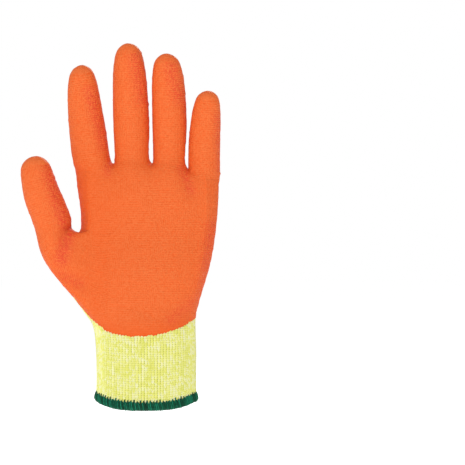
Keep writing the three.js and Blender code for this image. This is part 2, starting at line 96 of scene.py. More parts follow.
# No face or point has this number, and no stitch lies at this wale or course.
MISSING = -1
NO_STITCH = 0.25

# Creases fade out over this depth from the palm's side.
SIDE_FADE = 4 * MM

# The second grain of a noise is half the size of the first, and half as strong.
GRAIN_RATIO = 2
GRAIN_FADE = 1

# The product of two shares that add up to one is at most a quarter, so this brings its peak to one.
HUMP_SCALE = 4.0

# Smaller than any length, area of a face in stitches, or share that counts.
NO_LENGTH = 1e-12
NO_AREA = 1e-9
SHARE_SLACK = 1e-6

# Numbers of sockets that share their names with others of their node.
MIX_SHARE = 0
MIX_FIRST = 6
MIX_SECOND = 7
MIX_COLOUR = 2
RANDOM_NUMBER = 1

WHITE = (1, 1, 1, 1)


class Slot(Enum):
    """The record's material slots."""

    KNIT = "knit"
    LATEX = "latex"
    OVERLOCK = "overlock"


@dataclass(frozen=True)
class CuffRow:
    """A section of the cuff: shares of its height, half width to each side, half depth and the rim's sag."""

    up: float
    radial: float
    ulnar: float
    depth: float
    sag: float


@dataclass(frozen=True)
class RingShape:
    """The shape of a ring round the hand, and how far the latex turns round its sides.

    Square is the exponent of the outline, fan how far its columns follow the fingers, and the wraps are in
    degrees.
    """

    square: float
    fan: float
    radial_wrap: float
    ulnar_wrap: float


@dataclass(frozen=True)
class RingSize:
    """How far a ring round the hand reaches to each side, and to front and back, in metres.

    Side is how far back its radial side lies, and groove the share of its depth that is left at the webs.
    """

    radial: float
    ulnar: float
    front: float
    back: float
    side: float = 0
    groove: float = 1


@dataclass(frozen=True)
class PalmRow:
    """A section of the palm, in shares of its length, the width across the finger roots and its depth."""

    up: float
    radial: float
    ulnar: float
    front: float
    back: float
    side: float
    shape: RingShape


@dataclass(frozen=True)
class Finger:
    """A finger: its sizes, how it lies, and the bare tongue on its back.

    Crotch is how high its root lies. Splay is its lean towards the thumb in degrees, bow how far its middle
    stands to the ulnar side, and curl how far its tip leans out of the palm. Taper is the share of its width
    that goes from root to tip. The tongue has a top in shares of the length, a turn in degrees and a breadth
    in shares of the usual one.
    """

    width: float
    depth: float
    length: float
    crotch: float
    splay: float
    bow: float
    curl: float
    taper: float
    tongue_top: float
    tongue_turn: float
    tongue_breadth: float = 1.0


@dataclass(frozen=True)
class FingerRow:
    """A section of a finger, in shares of its length, width and depth."""

    along: float
    width: float
    depth: float


@dataclass(frozen=True)
class ThumbRow:
    """A section of the thumb: its middle in shares of the length, its tilt, size and bare half angle."""

    out: float
    up: float
    front: float
    tilt: float = 0.0
    width: float = 0.0
    depth: float = 0.0
    bare: float = 0.0


@dataclass(frozen=True)
class Stroke:
    """A crease, or a crinkled stretch of the palm's side painted redder as shade, from one place to another.

    Places are shares of the width across the finger roots and of the palm's length. Reach is half its width.
    The depth of a crease is in metres, and that of a crinkled stretch a share from 0 to 1.
    """

    start: tuple[float, float]
    end: tuple[float, float]
    reach: float
    depth: float


CUFF_ROWS = (
    CuffRow(up=0, radial=1.05, ulnar=1.015, depth=1.02, sag=1),
    CuffRow(up=0.16, radial=1.035, ulnar=1, depth=1, sag=0.8),
    CuffRow(up=0.56, radial=1.035, ulnar=1, depth=0.99, sag=0.3),
    CuffRow(up=1, radial=1.1, ulnar=0.985, depth=0.98, sag=0),
)
CUFF_SHAPE = RingShape(square=2, fan=0, radial_wrap=2, ulnar_wrap=3)
PALM_ROWS = (
    PalmRow(
        up=0.13, radial=0.472, ulnar=0.352, front=0.68, back=0.58, side=0.08,
        shape=RingShape(square=2.15, fan=0.3, radial_wrap=2, ulnar_wrap=4),
    ),
    PalmRow(
        up=0.35, radial=0.478, ulnar=0.425, front=0.66, back=0.5, side=0.2,
        shape=RingShape(square=2.3, fan=0.6, radial_wrap=0, ulnar_wrap=8),
    ),
    PalmRow(
        up=0.585, radial=0.472, ulnar=0.472, front=0.53, back=0.47, side=0.19,
        shape=RingShape(square=2.4, fan=0.7, radial_wrap=2, ulnar_wrap=14),
    ),
    PalmRow(
        up=0.8, radial=0.476, ulnar=0.492, front=0.48, back=0.44, side=0.03,
        shape=RingShape(square=2.5, fan=0.9, radial_wrap=4, ulnar_wrap=16),
    ),
    PalmRow(
        up=1, radial=0.5, ulnar=0.5, front=0.42, back=0.4, side=0,
        shape=RingShape(square=2.6, fan=1, radial_wrap=4, ulnar_wrap=16),
    ),
)
FINGERS = (
    Finger(
        width=24.3 * MM, depth=20.6 * MM, length=67.9 * MM, crotch=0, splay=6.1, bow=-1 * MM,
        curl=10 * MM, taper=0.19, tongue_top=0.64, tongue_turn=14,
    ),
    Finger(
        width=22.2 * MM, depth=20.6 * MM, length=80.8 * MM, crotch=1.5 * MM, splay=1.6, bow=0,
        curl=12 * MM, taper=0.01, tongue_top=0.71, tongue_turn=-14,
    ),
    Finger(
        width=20.4 * MM, depth=20 * MM, length=74.7 * MM, crotch=0.5 * MM, splay=1.1, bow=1 * MM,
        curl=12 * MM, taper=-0.08, tongue_top=0.75, tongue_turn=-16,
    ),
    Finger(
        width=20 * MM, depth=17.8 * MM, length=55.6 * MM, crotch=-5.5 * MM, splay=-3, bow=-1 * MM,
        curl=9 * MM, taper=0.08, tongue_top=0.7, tongue_turn=-8, tongue_breadth=0.68,
    ),
)
FINGER_ROWS = (
    FingerRow(along=0.1, width=1.01, depth=1),
    FingerRow(along=0.34, width=1.03, depth=0.98),
    FingerRow(along=0.58, width=1, depth=0.94),
    FingerRow(along=0.79, width=0.92, depth=0.86),
    FingerRow(along=0.93, width=0.7, depth=0.68),
)

# The half angle of a finger's bare tongue, in degrees, at shares of the way to its top.
TONGUE_REACH = (0, 0.4, 0.8, 1, 1.4)
TONGUE_HALF = (84, 62, 34, 0, -70)

THUMB_ROWS = (
    ThumbRow(out=0.154, up=0.188, front=0.065, tilt=60, width=1.33, depth=1.16, bare=54),
    ThumbRow(out=0.202, up=0.372, front=0.1, tilt=23, width=1.07, depth=1.05, bare=36),
    ThumbRow(out=0.276, up=0.583, front=0.14, tilt=18, width=1.045, depth=1, bare=24),
    ThumbRow(out=0.317, up=0.727, front=0.165, tilt=14, width=0.955, depth=0.94, bare=-20),
    ThumbRow(out=0.345, up=0.86, front=0.185, tilt=11, width=0.78, depth=0.74, bare=-80),
)
THUMB_TIP = ThumbRow(out=0.354, up=0.936, front=0.195)
CREASES = (
    Stroke(start=(-0.545, 0.6), end=(-0.6, 0.37), reach=6.5 * MM, depth=2 * MM),
    Stroke(start=(-0.58, 0.32), end=(-0.44, 0.27), reach=5 * MM, depth=1.2 * MM),
    Stroke(start=(0.275, 0.94), end=(0.31, 0.82), reach=5 * MM, depth=1 * MM),
)
# Crinkled stretches: the latex crinkles there and is also painted redder as shade, so several run down the
# sides of the fingers and palm towards +X, away from the key lamp, and others follow the thumb's folds.
CRINKLED_AND_SHADED = (
    Stroke(start=(-0.53, 0.61), end=(-0.585, 0.42), reach=4.5 * MM, depth=0.95),
    Stroke(start=(-0.67, 0.96), end=(-0.56, 0.62), reach=4.5 * MM, depth=0.8),
    Stroke(start=(-0.6, 0.33), end=(-0.46, 0.27), reach=4 * MM, depth=0.55),
    Stroke(start=(0.24, 0.98), end=(0.31, 0.84), reach=3.5 * MM, depth=0.6),
    Stroke(start=(0.46, 0.62), end=(0.40, 0.22), reach=5 * MM, depth=0.8),
    Stroke(start=(0.34, 0.18), end=(0.18, 0.05), reach=4 * MM, depth=0.5),
    Stroke(start=(-0.26, 1.1), end=(-0.27, 0.95), reach=3 * MM, depth=0.7),
    Stroke(start=(-0.39, 1.45), end=(-0.3, 1.12), reach=4 * MM, depth=0.7),
    Stroke(start=(-0.07, 1.66), end=(-0.025, 1.4), reach=5 * MM, depth=0.6),
    Stroke(start=(0, 1.45), end=(0.03, 1.1), reach=3 * MM, depth=0.7),
    Stroke(start=(0.17, 1.62), end=(0.235, 1.4), reach=5 * MM, depth=0.6),
    Stroke(start=(0.26, 1.45), end=(0.285, 1.15), reach=3 * MM, depth=0.6),
    Stroke(start=(0.49, 1.3), end=(0.5, 0.97), reach=3 * MM, depth=0.5),
)


@dataclass
class GloveSizes:
    """Sizes of the glove, in metres.

    A margin is how far round its ring a point lies inside the latex, in degrees, and the margin length is
    what one degree comes to. The thumb's roll is in degrees too. Curves are exponents, the groove, the edge
    column and the spread are shares, and the back slope is a rise for each metre behind the sides.
    """

    knit_wall: float = 1.5 * MM
    overlock_wall: float = 1.1 * MM
    overlock_clearance: float = 0.3 * MM
    cuff_width: float = 67.4 * MM
    cuff_depth: float = 47 * MM
    cuff_height: float = 54 * MM
    rim_sag: float = 5 * MM
    rim_curve: float = 3
    palm_length: float = 111 * MM
    palm_depth: float = 31 * MM
    finger_gap: float = 3.8 * MM
    crotch_lift: float = 4.5 * MM
    thumb_length: float = 82.5 * MM
    thumb_width: float = 22.4 * MM
    thumb_depth: float = 21 * MM
    thumb_roll: float = 38
    root_groove: float = 0.74
    edge_column: float = 0.87
    dip_height: float = 51 * MM
    dip_middle: float = -8 * MM
    dip_climb_radial: float = 15 * MM
    dip_climb_ulnar: float = 6.8 * MM
    dip_curve: float = 2.5
    dip_spread: float = 1.25
    dip_back_slope: float = 2.2
    edge_margin: float = 20
    column_margin: float = 12
    web_margin: float = 30
    tip_margin: float = 180
    margin_length: float = 0.2 * MM

    @property
    def roots_width(self) -> float:
        """Width across the finger roots."""
        return sum(finger.width for finger in FINGERS) + self.finger_gap * (len(FINGERS) - 1)

    @property
    def rim_height(self) -> float:
        """Height of the knit's rim at the middle of the front."""
        return self.knit_wall / 2 + self.overlock_clearance + self.overlock_wall

    @property
    def wrist_height(self) -> float:
        """Height of the wrist, where the cuff ends."""
        return self.rim_height + self.cuff_height

    @property
    def crotch_height(self) -> float:
        """Height of the line that the finger crotches lie near."""
        return self.wrist_height + self.palm_length

    def root_centres(self) -> list[float]:
        """Where the middle of each finger lies across the hand."""
        starts = np.cumsum([0] + [finger.width + self.finger_gap for finger in FINGERS])
        return [start + (finger.width - self.roots_width) / 2 for start, finger in zip(starts, FINGERS)]

    def web_centres(self) -> list[float]:
        """Where the middle of each web between two fingers lies across the hand."""
        centres = self.root_centres()
        return [centres[i] + (FINGERS[i].width + self.finger_gap) / 2 for i in range(len(FINGERS) - 1)]


@dataclass
class Sleeve:
    """Bands of cage faces round the hand or a digit, in order from the wrist to the tip."""

    bands: list[list[int]] = field(default_factory=list)

    def rolled(self, first: int) -> list[list[int]]:
        """The bands, each starting from another column.

        Args:
            first: the column that comes first.

        Returns:
            The bands with their faces in the new order.
        """
        return [band[first:] + band[:first] for band in self.bands]


def ulnar_column(first: int) -> int:
    """The column at the ulnar side of a digit whose rings start at this angle."""
    return (360 - first) * DIGIT_POINTS // 360


class Cage:
    """The coarse cage of four-sided faces whose smooth surface is the outer face of the knit."""

    def __init__(self, sizes: GloveSizes) -> None:
        """Builds the cage from the tables of sections.

        Args:
            sizes: the sizes of the glove.
        """
        self.sizes = sizes
        self.points: list[tuple[float, float, float, float]] = []
        self.quads: list[list[int]] = []
        self.hand = Sleeve()
        self.fingers = [Sleeve() for _ in FINGERS]
        self.thumb = Sleeve()
        # Where the columns lie, in shares of the half width: evenly round a circle, or as the fingers do.
        self.even = [math.sin(math.pi * (c - COLUMNS / 2) / (COLUMNS + 2)) for c in range(COLUMNS + 1)]
        self.spread = [self._finger_share(column) for column in range(COLUMNS + 1)]
        self._build()

    def _finger_share(self, column: int) -> float:
        """Where a column lies at the finger roots, in shares of the half width.

        Args:
            column: the column, which is odd in the middle of a finger and even at a web.

        Returns:
            Its share, from -1 to 1.
        """
        if column in (0, COLUMNS):
            return math.copysign(self.sizes.edge_column, column - 1)
        places = self.sizes.root_centres() if column % 2 else self.sizes.web_centres()
        return 2 * places[(column - 1) // 2] / self.sizes.roots_width

    def _add_point(self, x: float, y: float, z: float, margin: float) -> int:
        """Adds a point with its latex margin and returns its number."""
        self.points.append((x, y, z, margin))
        return len(self.points) - 1

    def _add_band(
        self, sleeve: Sleeve, lower: list[int], upper: list[int], left_out: tuple[int, ...] = (),
    ) -> None:
        """Joins two rings by a band of faces.

        Args:
            sleeve: the sleeve that the band belongs to.
            lower: the ring nearer the wrist.
            upper: the ring further along.
            left_out: the columns that get no face.
        """
        band = []
        for k in range(len(lower)):
            after = (k + 1) % len(lower)
            band.append(MISSING if k in left_out else len(self.quads))
            if k not in left_out:
                self.quads.append([lower[k], lower[after], upper[after], upper[k]])
        sleeve.bands.append(band)

    def _hand_ring(self, size: RingSize, shape: RingShape, heights: list[float]) -> list[int]:
        """A ring round the hand.

        Args:
            size: how far it reaches.
            shape: the shape of its outline and its latex wraps.
            heights: the height of each column, then of the radial side.

        Returns:
            Its points: front columns, ulnar side, back columns and radial side.
        """
        sizes = self.sizes

        def place(column: int, side: int) -> int:
            """Adds a point of the ring.

            Args:
                column: the column, from the radial side.
                side: -1 in front and 1 behind.

            Returns:
                The number of the point.
            """
            share = self.even[column] + (self.spread[column] - self.even[column]) * shape.fan
            outline = (1 - abs(share) ** shape.square) ** (1 / shape.square)
            is_web = column % 2 == 0 and 0 < column < COLUMNS
            depth = (size.front if side < 0 else size.back) * (size.groove if is_web else 1)
            x = share * (size.radial if share < 0 else size.ulnar)
            wrap = shape.radial_wrap if column < COLUMNS / 2 else shape.ulnar_wrap
            columns_in = min(column, COLUMNS - column)
            margin = wrap - side * (sizes.edge_margin + sizes.column_margin * columns_in)
            return self._add_point(x, side * depth * outline, heights[column], margin)

        front = [place(column, -1) for column in range(COLUMNS + 1)]
        ulnar = self._add_point(size.ulnar, 0, heights[COLUMNS], shape.ulnar_wrap)
        back = [place(COLUMNS - column, 1) for column in range(COLUMNS + 1)]
        radial = self._add_point(-size.radial, size.side, heights[-1], shape.radial_wrap)
        return [*front, ulnar, *back, radial]

    def _cuff_ring(self, row: CuffRow) -> list[int]:
        """A ring round the cuff, which hangs lower at the front and back than at the sides.

        Args:
            row: its section.

        Returns:
            The points of the ring.
        """
        sizes = self.sizes
        half_width, face = sizes.cuff_width / 2, row.depth * sizes.cuff_depth / 2
        size = RingSize(row.radial * half_width, row.ulnar * half_width, front=face, back=face)
        level = sizes.rim_height + row.up * sizes.cuff_height
        sags = [abs(share) ** sizes.rim_curve for share in self.even]
        heights = [level + row.sag * sizes.rim_sag * sag for sag in sags]
        return self._hand_ring(size, CUFF_SHAPE, [*heights, level + row.sag * sizes.rim_sag])

    def _palm_ring(self, index: int) -> list[int]:
        """A ring round the palm. The last one follows the finger roots up and down.

        Args:
            index: the number of its section.

        Returns:
            The points of the ring.
        """
        sizes, row = self.sizes, PALM_ROWS[index]
        at_roots = index == len(PALM_ROWS) - 1
        width, depth = sizes.roots_width, sizes.palm_depth
        size = RingSize(
            radial=row.radial * width,
            ulnar=row.ulnar * width,
            front=row.front * depth,
            back=row.back * depth,
            side=row.side * depth,
            groove=sizes.root_groove if at_roots else 1,
        )
        heights = [sizes.wrist_height + row.up * sizes.palm_length] * (COLUMNS + 2)
        if at_roots:
            for column in range(-1, COLUMNS + 1):
                before = FINGERS[max(0, (column + 1) // 2 - 1)]
                after = FINGERS[min(len(FINGERS) - 1, max(0, column) // 2)]
                heights[column] += (before.crotch + after.crotch) / 2 - sizes.crotch_lift
        return self._hand_ring(size, row.shape, heights)

    def _digit_ring(
        self, middle: Vector, across: Vector, back: Vector, size: tuple[float, float], first: float,
        bare_angle: float, bare_half: float,
    ) -> list[int]:
        """A ring of eight points round a digit. Angles run from across towards back, in degrees.

        Args:
            middle: the middle of the section.
            across: the unit direction of its width.
            back: the unit direction of its depth.
            size: its width and depth.
            first: the angle of the first point.
            bare_angle: the angle of the middle of the bare tongue.
            bare_half: half the angle of the tongue.

        Returns:
            The points of the ring.
        """
        ring = []
        for k in range(DIGIT_POINTS):
            angle = first + k * 360 / DIGIT_POINTS
            turn = math.radians(angle)
            point = middle + across * (size[0] / 2 * math.cos(turn)) + back * (size[1] / 2 * math.sin(turn))
            off = abs((angle - bare_angle + 180) % 360 - 180)
            ring.append(self._add_point(*point, off - bare_half))
        return ring

    def _add_digit(self, sleeve: Sleeve, root: list[int], rings: list[list[int]], tip: Vector) -> None:
        """Joins the rings of a digit and closes it with four faces round one point at its tip.

        Args:
            sleeve: the sleeve of the digit.
            root: the loop that it grows out of.
            rings: its rings, from the root to the tip.
            tip: the place of the point.
        """
        for lower, upper in zip([root, *rings], rings):
            self._add_band(sleeve, lower, upper)
        top = self._add_point(*tip, self.sizes.tip_margin)
        last = rings[-1]
        for k in range(0, DIGIT_POINTS, 2):
            self.quads.append([last[k], last[k + 1], last[(k + 2) % DIGIT_POINTS], top])

    def _add_finger(self, index: int, root: list[int]) -> None:
        """Adds a finger on its root loop.

        Args:
            index: the number of the finger, from the index finger on.
            root: the points of the loop.
        """
        sizes, finger = self.sizes, FINGERS[index]
        lean = math.radians(finger.splay)
        start = sizes.crotch_height - sizes.crotch_lift + finger.crotch
        length = finger.length + sizes.crotch_lift
        centre = sizes.root_centres()[index]

        def middle_at(along: float) -> Vector:
            """The middle of the finger at this share of its length."""
            sideways = centre - math.sin(lean) * along * length + 4 * finger.bow * along * (1 - along)
            return Vector((sideways, -finger.curl * along**2, start + math.cos(lean) * along * length))

        rings = []
        for row in FINGER_ROWS:
            pitch = math.atan2(2 * finger.curl * row.along, length)
            narrowing = 1 - finger.taper * row.along
            rings.append(self._digit_ring(
                middle_at(row.along),
                Vector((math.cos(lean), 0, math.sin(lean))),
                Vector((0, math.cos(pitch), math.sin(pitch))),
                (finger.width * row.width * narrowing, finger.depth * row.depth),
                FINGER_FIRST,
                STRAIGHT_BACK + finger.tongue_turn,
                finger.tongue_breadth * np.interp(row.along / finger.tongue_top, TONGUE_REACH, TONGUE_HALF),
            ))
        self._add_digit(self.fingers[index], root, rings, middle_at(1))

    def _add_thumb(self, root: list[int], start: Vector) -> None:
        """Adds the thumb on its root loop.

        Args:
            root: the points of the loop.
            start: the place that its sections are counted from.
        """
        sizes = self.sizes

        def middle_of(row: ThumbRow) -> Vector:
            """The middle of the thumb in this section."""
            return start + Vector((-row.out, -row.front, row.up)) * sizes.thumb_length

        rings = []
        for row in THUMB_ROWS:
            tilt = math.radians(row.tilt)
            size = (sizes.thumb_width * row.width, sizes.thumb_depth * row.depth)
            across = Vector((math.cos(tilt), 0, math.sin(tilt)))
            rings.append(self._digit_ring(
                middle_of(row),
                across,
                Vector((0, 1, 0)),
                size,
                THUMB_FIRST,
                STRAIGHT_BACK + sizes.thumb_roll,
                row.bare,
            ))
        self._add_digit(self.thumb, root, rings, middle_of(THUMB_TIP))

    def _build(self) -> None:
        """Adds the cuff, the palm, the webs, the fingers and the thumb."""
        cuff = [self._cuff_ring(row) for row in CUFF_ROWS]
        for lower, upper in zip(cuff, cuff[1:]):
            self._add_band(self.hand, lower, upper)
        palm = [self._palm_ring(index) for index in range(len(PALM_ROWS))]
        for index, (lower, upper) in enumerate(zip([cuff[-1], *palm], palm)):
            self._add_band(self.hand, lower, upper, (RADIAL_SIDE, 0) if index in THUMB_BANDS else ())
        roots = palm[-1]
        webs = []
        for i, x in enumerate(self.sizes.web_centres()):
            height = self.points[roots[2 * i + 2]][2] + self.sizes.crotch_lift
            webs.append(self._add_point(x, 0, height, self.sizes.web_margin))
        sides = [roots[RADIAL_SIDE], *webs, roots[ULNAR_SIDE]]
        for i in range(len(FINGERS)):
            front = roots[2 * i:2 * i + 3]
            back = [roots[FIRST_BACK + COLUMNS - (2 * i + k)] for k in (2, 1, 0)]
            self._add_finger(i, [*front, sides[i + 1], *back, sides[i]])
        below, beside, above = palm[:3]
        loop = [
            below[RADIAL_SIDE], below[0], below[1], beside[1],
            above[1], above[0], above[RADIAL_SIDE], beside[RADIAL_SIDE],
        ]
        x, _, z, _ = self.points[beside[RADIAL_SIDE]]
        self._add_thumb(loop, Vector((x, 0, z)))


def gathered(index: Array, values: Array, count: int) -> Array:
    """Sums rows of values by their index.

    Args:
        index: the row of the result that each value goes to.
        values: one row for each index.
        count: the number of rows of the result.

    Returns:
        The sums.
    """
    flat = values.reshape(len(index), -1)
    return np.stack([np.bincount(index, flat[:, k], count) for k in range(flat.shape[1])], axis=1)


class Subdivision:
    """A mesh of four-sided faces that is halved step by step until it is smooth."""

    def __init__(self, points: Array, quads: Array, places: Array) -> None:
        """Finds the edges of the mesh.

        Args:
            points: x, y, z and latex margin of each point.
            quads: the four corners of each face.
            places: cage face, column and row of each face.
        """
        self.points, self.quads, self.places = points, quads, places
        count = len(points)
        after = np.roll(quads, -1, axis=1)
        low, high = np.minimum(quads, after), np.maximum(quads, after)
        keys, edge_of, faces_at = np.unique(low * count + high, return_inverse=True, return_counts=True)
        self.edge_of = edge_of.reshape(quads.shape)
        self.ends = np.stack([keys // count, keys % count], axis=1)
        self.is_rim = faces_at == 1
        self.valence = np.maximum(np.bincount(self.ends.ravel(), minlength=count), 1)[:, None]
        self.beside = self._beside(self.ends)
        rim_ends = self.ends[self.is_rim]
        self.beside_rim = self._beside(rim_ends)
        self.on_rim = np.bincount(rim_ends.ravel(), minlength=count) > 0
        self.unused = np.bincount(quads.ravel(), minlength=count) == 0

    def _beside(self, ends: Array) -> Array:
        """The sum of the points at the other ends of the edges of each point.

        Args:
            ends: the two points of each edge.

        Returns:
            One sum for each point.
        """
        both = np.concatenate([ends[:, 0], ends[:, 1]])
        others = np.concatenate([ends[:, 1], ends[:, 0]])
        return gathered(both, self.points[others], len(self.points))

    def refined(self) -> "Subdivision":
        """The mesh after one step, with four faces for each one.

        Returns:
            The finer mesh.
        """
        points, quads, count = self.points, self.quads, len(self.points)
        middles = points[quads].mean(axis=1)
        around = gathered(quads.ravel(), np.repeat(middles, 4, axis=0), count)
        square = self.valence**2
        moved = around / square + self.beside / square + points * (self.valence - 2) / self.valence
        moved[self.on_rim] = (points * 3 / 4 + self.beside_rim / 8)[self.on_rim]
        moved[self.unused] = points[self.unused]
        halves = points[self.ends].sum(axis=1)
        at_faces = gathered(self.edge_of.ravel(), np.repeat(middles, 4, axis=0), len(self.ends))
        edge_points = np.where(self.is_rim[:, None], halves / 2, (halves + at_faces) / 4)
        middle = count + np.arange(len(quads))
        ab, bc, cd, da = (count + len(quads) + self.edge_of).T
        a, b, c, d = quads.T
        children = [(a, ab, middle, da), (ab, b, bc, middle), (middle, bc, c, cd), (da, middle, cd, d)]
        face, column, row = self.places.T
        new_quads = np.concatenate([np.stack(child, axis=1) for child in children])
        new_places = np.concatenate(
            [np.stack([face, 2 * column + u, 2 * row + v], axis=1) for u, v in CORNERS]
        )
        return Subdivision(np.concatenate([moved, middles, edge_points]), new_quads, new_places)

    def limit(self) -> Array:
        """Where each point ends up on the smooth surface.

        Returns:
            One place and margin for each point.
        """
        points, n = self.points, self.valence
        opposite = points[np.roll(self.quads, -2, axis=1)].reshape(-1, 4)
        across = gathered(self.quads.ravel(), opposite, len(points))
        reached = (points * n * n + 4 * self.beside + across) / (n * (n + 5))
        reached[self.on_rim] = (points * 4 / 6 + self.beside_rim / 6)[self.on_rim]
        reached[self.unused] = points[self.unused]
        return reached


def stroke_share(points: Array, stroke: Stroke, sizes: GloveSizes) -> Array:
    """How strongly a stroke of the palm's side is felt at each point, from 0 to 1.

    Args:
        points: the points.
        stroke: the crease or crinkled stretch.
        sizes: the sizes of the glove.

    Returns:
        One share for each point, which fades out at the sides and is 0 behind the hand.
    """
    ends = [
        np.array([across * sizes.roots_width, sizes.wrist_height + up * sizes.palm_length])
        for across, up in (stroke.start, stroke.end)
    ]
    flat = points[:, [0, 2]]
    line = ends[1] - ends[0]
    along = np.clip((flat - ends[0]) @ line / (line @ line), 0, 1)
    distance = np.linalg.norm(flat - ends[0] - along[:, None] * line, axis=1)
    return np.clip(-points[:, 1] / SIDE_FADE, 0, 1) * np.exp(-((distance / stroke.reach) ** 2))


@dataclass
class KnitSurface:
    """The outer face of the knit: fine points, and on each cage face a grid of wales and courses.

    A wale is a column of stitches up the glove and a course a row across it. Both are counted in stitches, so
    that a stitch lies at each pair of whole numbers and a half.
    """

    sizes: GloveSizes
    hand_wales: int = 42
    finger_wales: int = 14
    thumb_wales: int = 14
    course: float = 1.55 * MM
    widest_wale: float = 2.45 * MM

    def __post_init__(self) -> None:
        """Smooths the cage and lays out its wales and courses."""
        self.cage = Cage(self.sizes)
        wanted = np.array(self.cage.points)
        quads = np.array(self.cage.quads)
        zeros = np.zeros(len(quads), int)
        places = np.stack([np.arange(len(quads)), zeros, zeros], axis=1)
        mesh = Subdivision(wanted, quads, places)
        for _ in range(FIT_ROUNDS):
            mesh = Subdivision(mesh.points + wanted - mesh.limit(), quads, places)
        for _ in range(LEVELS):
            mesh = mesh.refined()
        reached = mesh.limit()
        self.points, self.margins = reached[:, :3].copy(), reached[:, 3]
        for crease in CREASES:
            self.points[:, 1] += crease.depth * stroke_share(self.points, crease, self.sizes)
        self.normals = self._normals(self.points, mesh.quads)
        self.grid = np.full((len(quads), STEPS + 1, STEPS + 1), MISSING)
        face, column, row = mesh.places.T
        for corner, (u, v) in enumerate(CORNERS):
            self.grid[face, row + v, column + u] = mesh.quads[:, corner]
        self.wales = np.full(self.grid.shape, NO_STITCH)
        self.courses = np.full(self.grid.shape, NO_STITCH)
        self.sleeve_of = np.full(len(quads), MISSING)
        self._lay_out()

    def _normals(self, points: Array, quads: Array) -> Array:
        """The outward normal at each point of these faces.

        Args:
            points: the points.
            quads: the corners of the faces.

        Returns:
            One normal for each point.
        """
        a, b, c, d = (points[quads[:, k]] for k in range(4))
        flat = np.cross(c - a, d - b)
        return unit(gathered(quads.ravel(), np.repeat(flat, 4, axis=0), len(points)))

    def patches(self, step: int) -> tuple[Array, Array]:
        """The surface in four-sided faces.

        Args:
            step: how many steps of the grids each face spans.

        Returns:
            The corners of the faces, and the wale and course at each corner.
        """

        def corners(values: Array) -> Array:
            """The values at the four corners of each face.

            Args:
                values: one value for each place of the grids.

            Returns:
                Four values for each face.
            """
            v = values[:, ::step, ::step]
            around = [v[:, :-1, :-1], v[:, :-1, 1:], v[:, 1:, 1:], v[:, 1:, :-1]]
            return np.stack(around, axis=-1).reshape(-1, 4)

        return corners(self.grid), np.stack([corners(self.wales), corners(self.courses)], axis=-1)

    def nodes_of(self, bands: list[list[int]]) -> Array:
        """The points of bands of faces, as rows from the wrist and columns round the sleeve.

        Args:
            bands: the faces of each band.

        Returns:
            The number of each point, or missing where there is no face.
        """
        nodes = np.full((len(bands) * STEPS + 1, len(bands[0]) * STEPS + 1), MISSING)
        for b, band in enumerate(bands):
            for k, face in enumerate(band):
                if face != MISSING:
                    nodes[b * STEPS:(b + 1) * STEPS + 1, k * STEPS:(k + 1) * STEPS + 1] = self.grid[face]
        return nodes

    def _places_of(self, nodes: Array) -> Array:
        """Where these points lie. A stretch with no points is bridged straight.

        Args:
            nodes: the numbers of the points, as rows and columns.

        Returns:
            One place for each number.
        """
        places = self.points[nodes]
        missing = nodes == MISSING
        columns = np.arange(nodes.shape[1])
        for row in np.flatnonzero(missing.any(axis=1)):
            have = columns[~missing[row]]
            for axis in range(3):
                places[row, :, axis] = np.interp(columns, have, places[row, have, axis])
        return places

    def _keep(self, bands: list[list[int]], wales: Array, heights: Array, sleeve: int) -> None:
        """Stores the wales and courses of a sleeve on its faces.

        Args:
            bands: the faces of each band of the sleeve.
            wales: the wale at each of its points, as rows and columns.
            heights: the course of each row of points.
            sleeve: the number of the sleeve.
        """
        for b, band in enumerate(bands):
            for k, face in enumerate(band):
                if face != MISSING:
                    rows = slice(b * STEPS, (b + 1) * STEPS + 1)
                    columns = slice(k * STEPS, (k + 1) * STEPS + 1)
                    self.wales[face] = wales[rows, columns]
                    self.courses[face] = heights[rows, None]
                    self.sleeve_of[face] = sleeve

    def _lay_out(self) -> None:
        """Counts the wales and courses of the hand, of each finger and of the thumb."""
        bands = self.cage.hand.rolled(ULNAR_SIDE)
        self.hand_nodes = self.nodes_of(bands)
        places = self._places_of(self.hand_nodes)
        round_hand = walked(places, axis=1)
        half = round_hand.shape[1] // 2
        back, whole = round_hand[:, half:half + 1], round_hand[:, -1:]
        wales = np.where(
            np.arange(round_hand.shape[1]) <= half,
            self.hand_wales * (1 - round_hand / back),
            -self.hand_wales * (round_hand - back) / (whole - back),
        )
        heights = walked(places, axis=0)[:, half // 2] / self.course
        self._keep(bands, wales, heights, 0)
        widths = back[-1, 0] / self.hand_wales, (whole - back)[-1, 0] / self.hand_wales
        # The columns start at the ulnar side: first come those of the back, and then those of the front.
        for i, sleeve in enumerate(self.cage.fingers):
            middles = wales[-1, (COLUMNS - 2 * i) * STEPS], wales[-1, (COLUMNS + 4 + 2 * i) * STEPS]
            self._lay_finger(sleeve, i + 1, middles, widths, heights[-1])
        self._lay_thumb()

    def _lay_finger(
        self, sleeve: Sleeve, number: int, middles: tuple[float, float], widths: tuple[float, float],
        start: float,
    ) -> None:
        """Counts the wales and courses of a finger, which carry on from those of the hand.

        Args:
            sleeve: the finger's sleeve.
            number: the number that the sleeve gets.
            middles: the wale in the middle of the finger's back, and of its front.
            widths: the width of a wale of the hand at the roots, behind and in front.
            start: the course at the roots.
        """
        bands = sleeve.rolled(ulnar_column(FINGER_FIRST))
        places = self._places_of(self.nodes_of(bands))
        walk = walked(places, axis=1)
        quarter = walk.shape[1] // 4
        own = walk[:, -1:] / (2 * self.finger_wales)
        own[:STEPS] = own[STEPS]
        blend = np.clip(np.arange(len(walk)) / STEPS, 0, 1)[:, None]
        halves = []
        for column, middle, width in zip((quarter, 3 * quarter), middles, widths):
            halves.append(middle - (walk - walk[:, column:column + 1]) / (width + (own - width) * blend))
        wales = np.where(np.arange(walk.shape[1]) <= 2 * quarter, halves[0], halves[1])
        heights = start + walked(places, axis=0)[:, quarter] / self.course
        self._keep(bands, wales, heights, number)

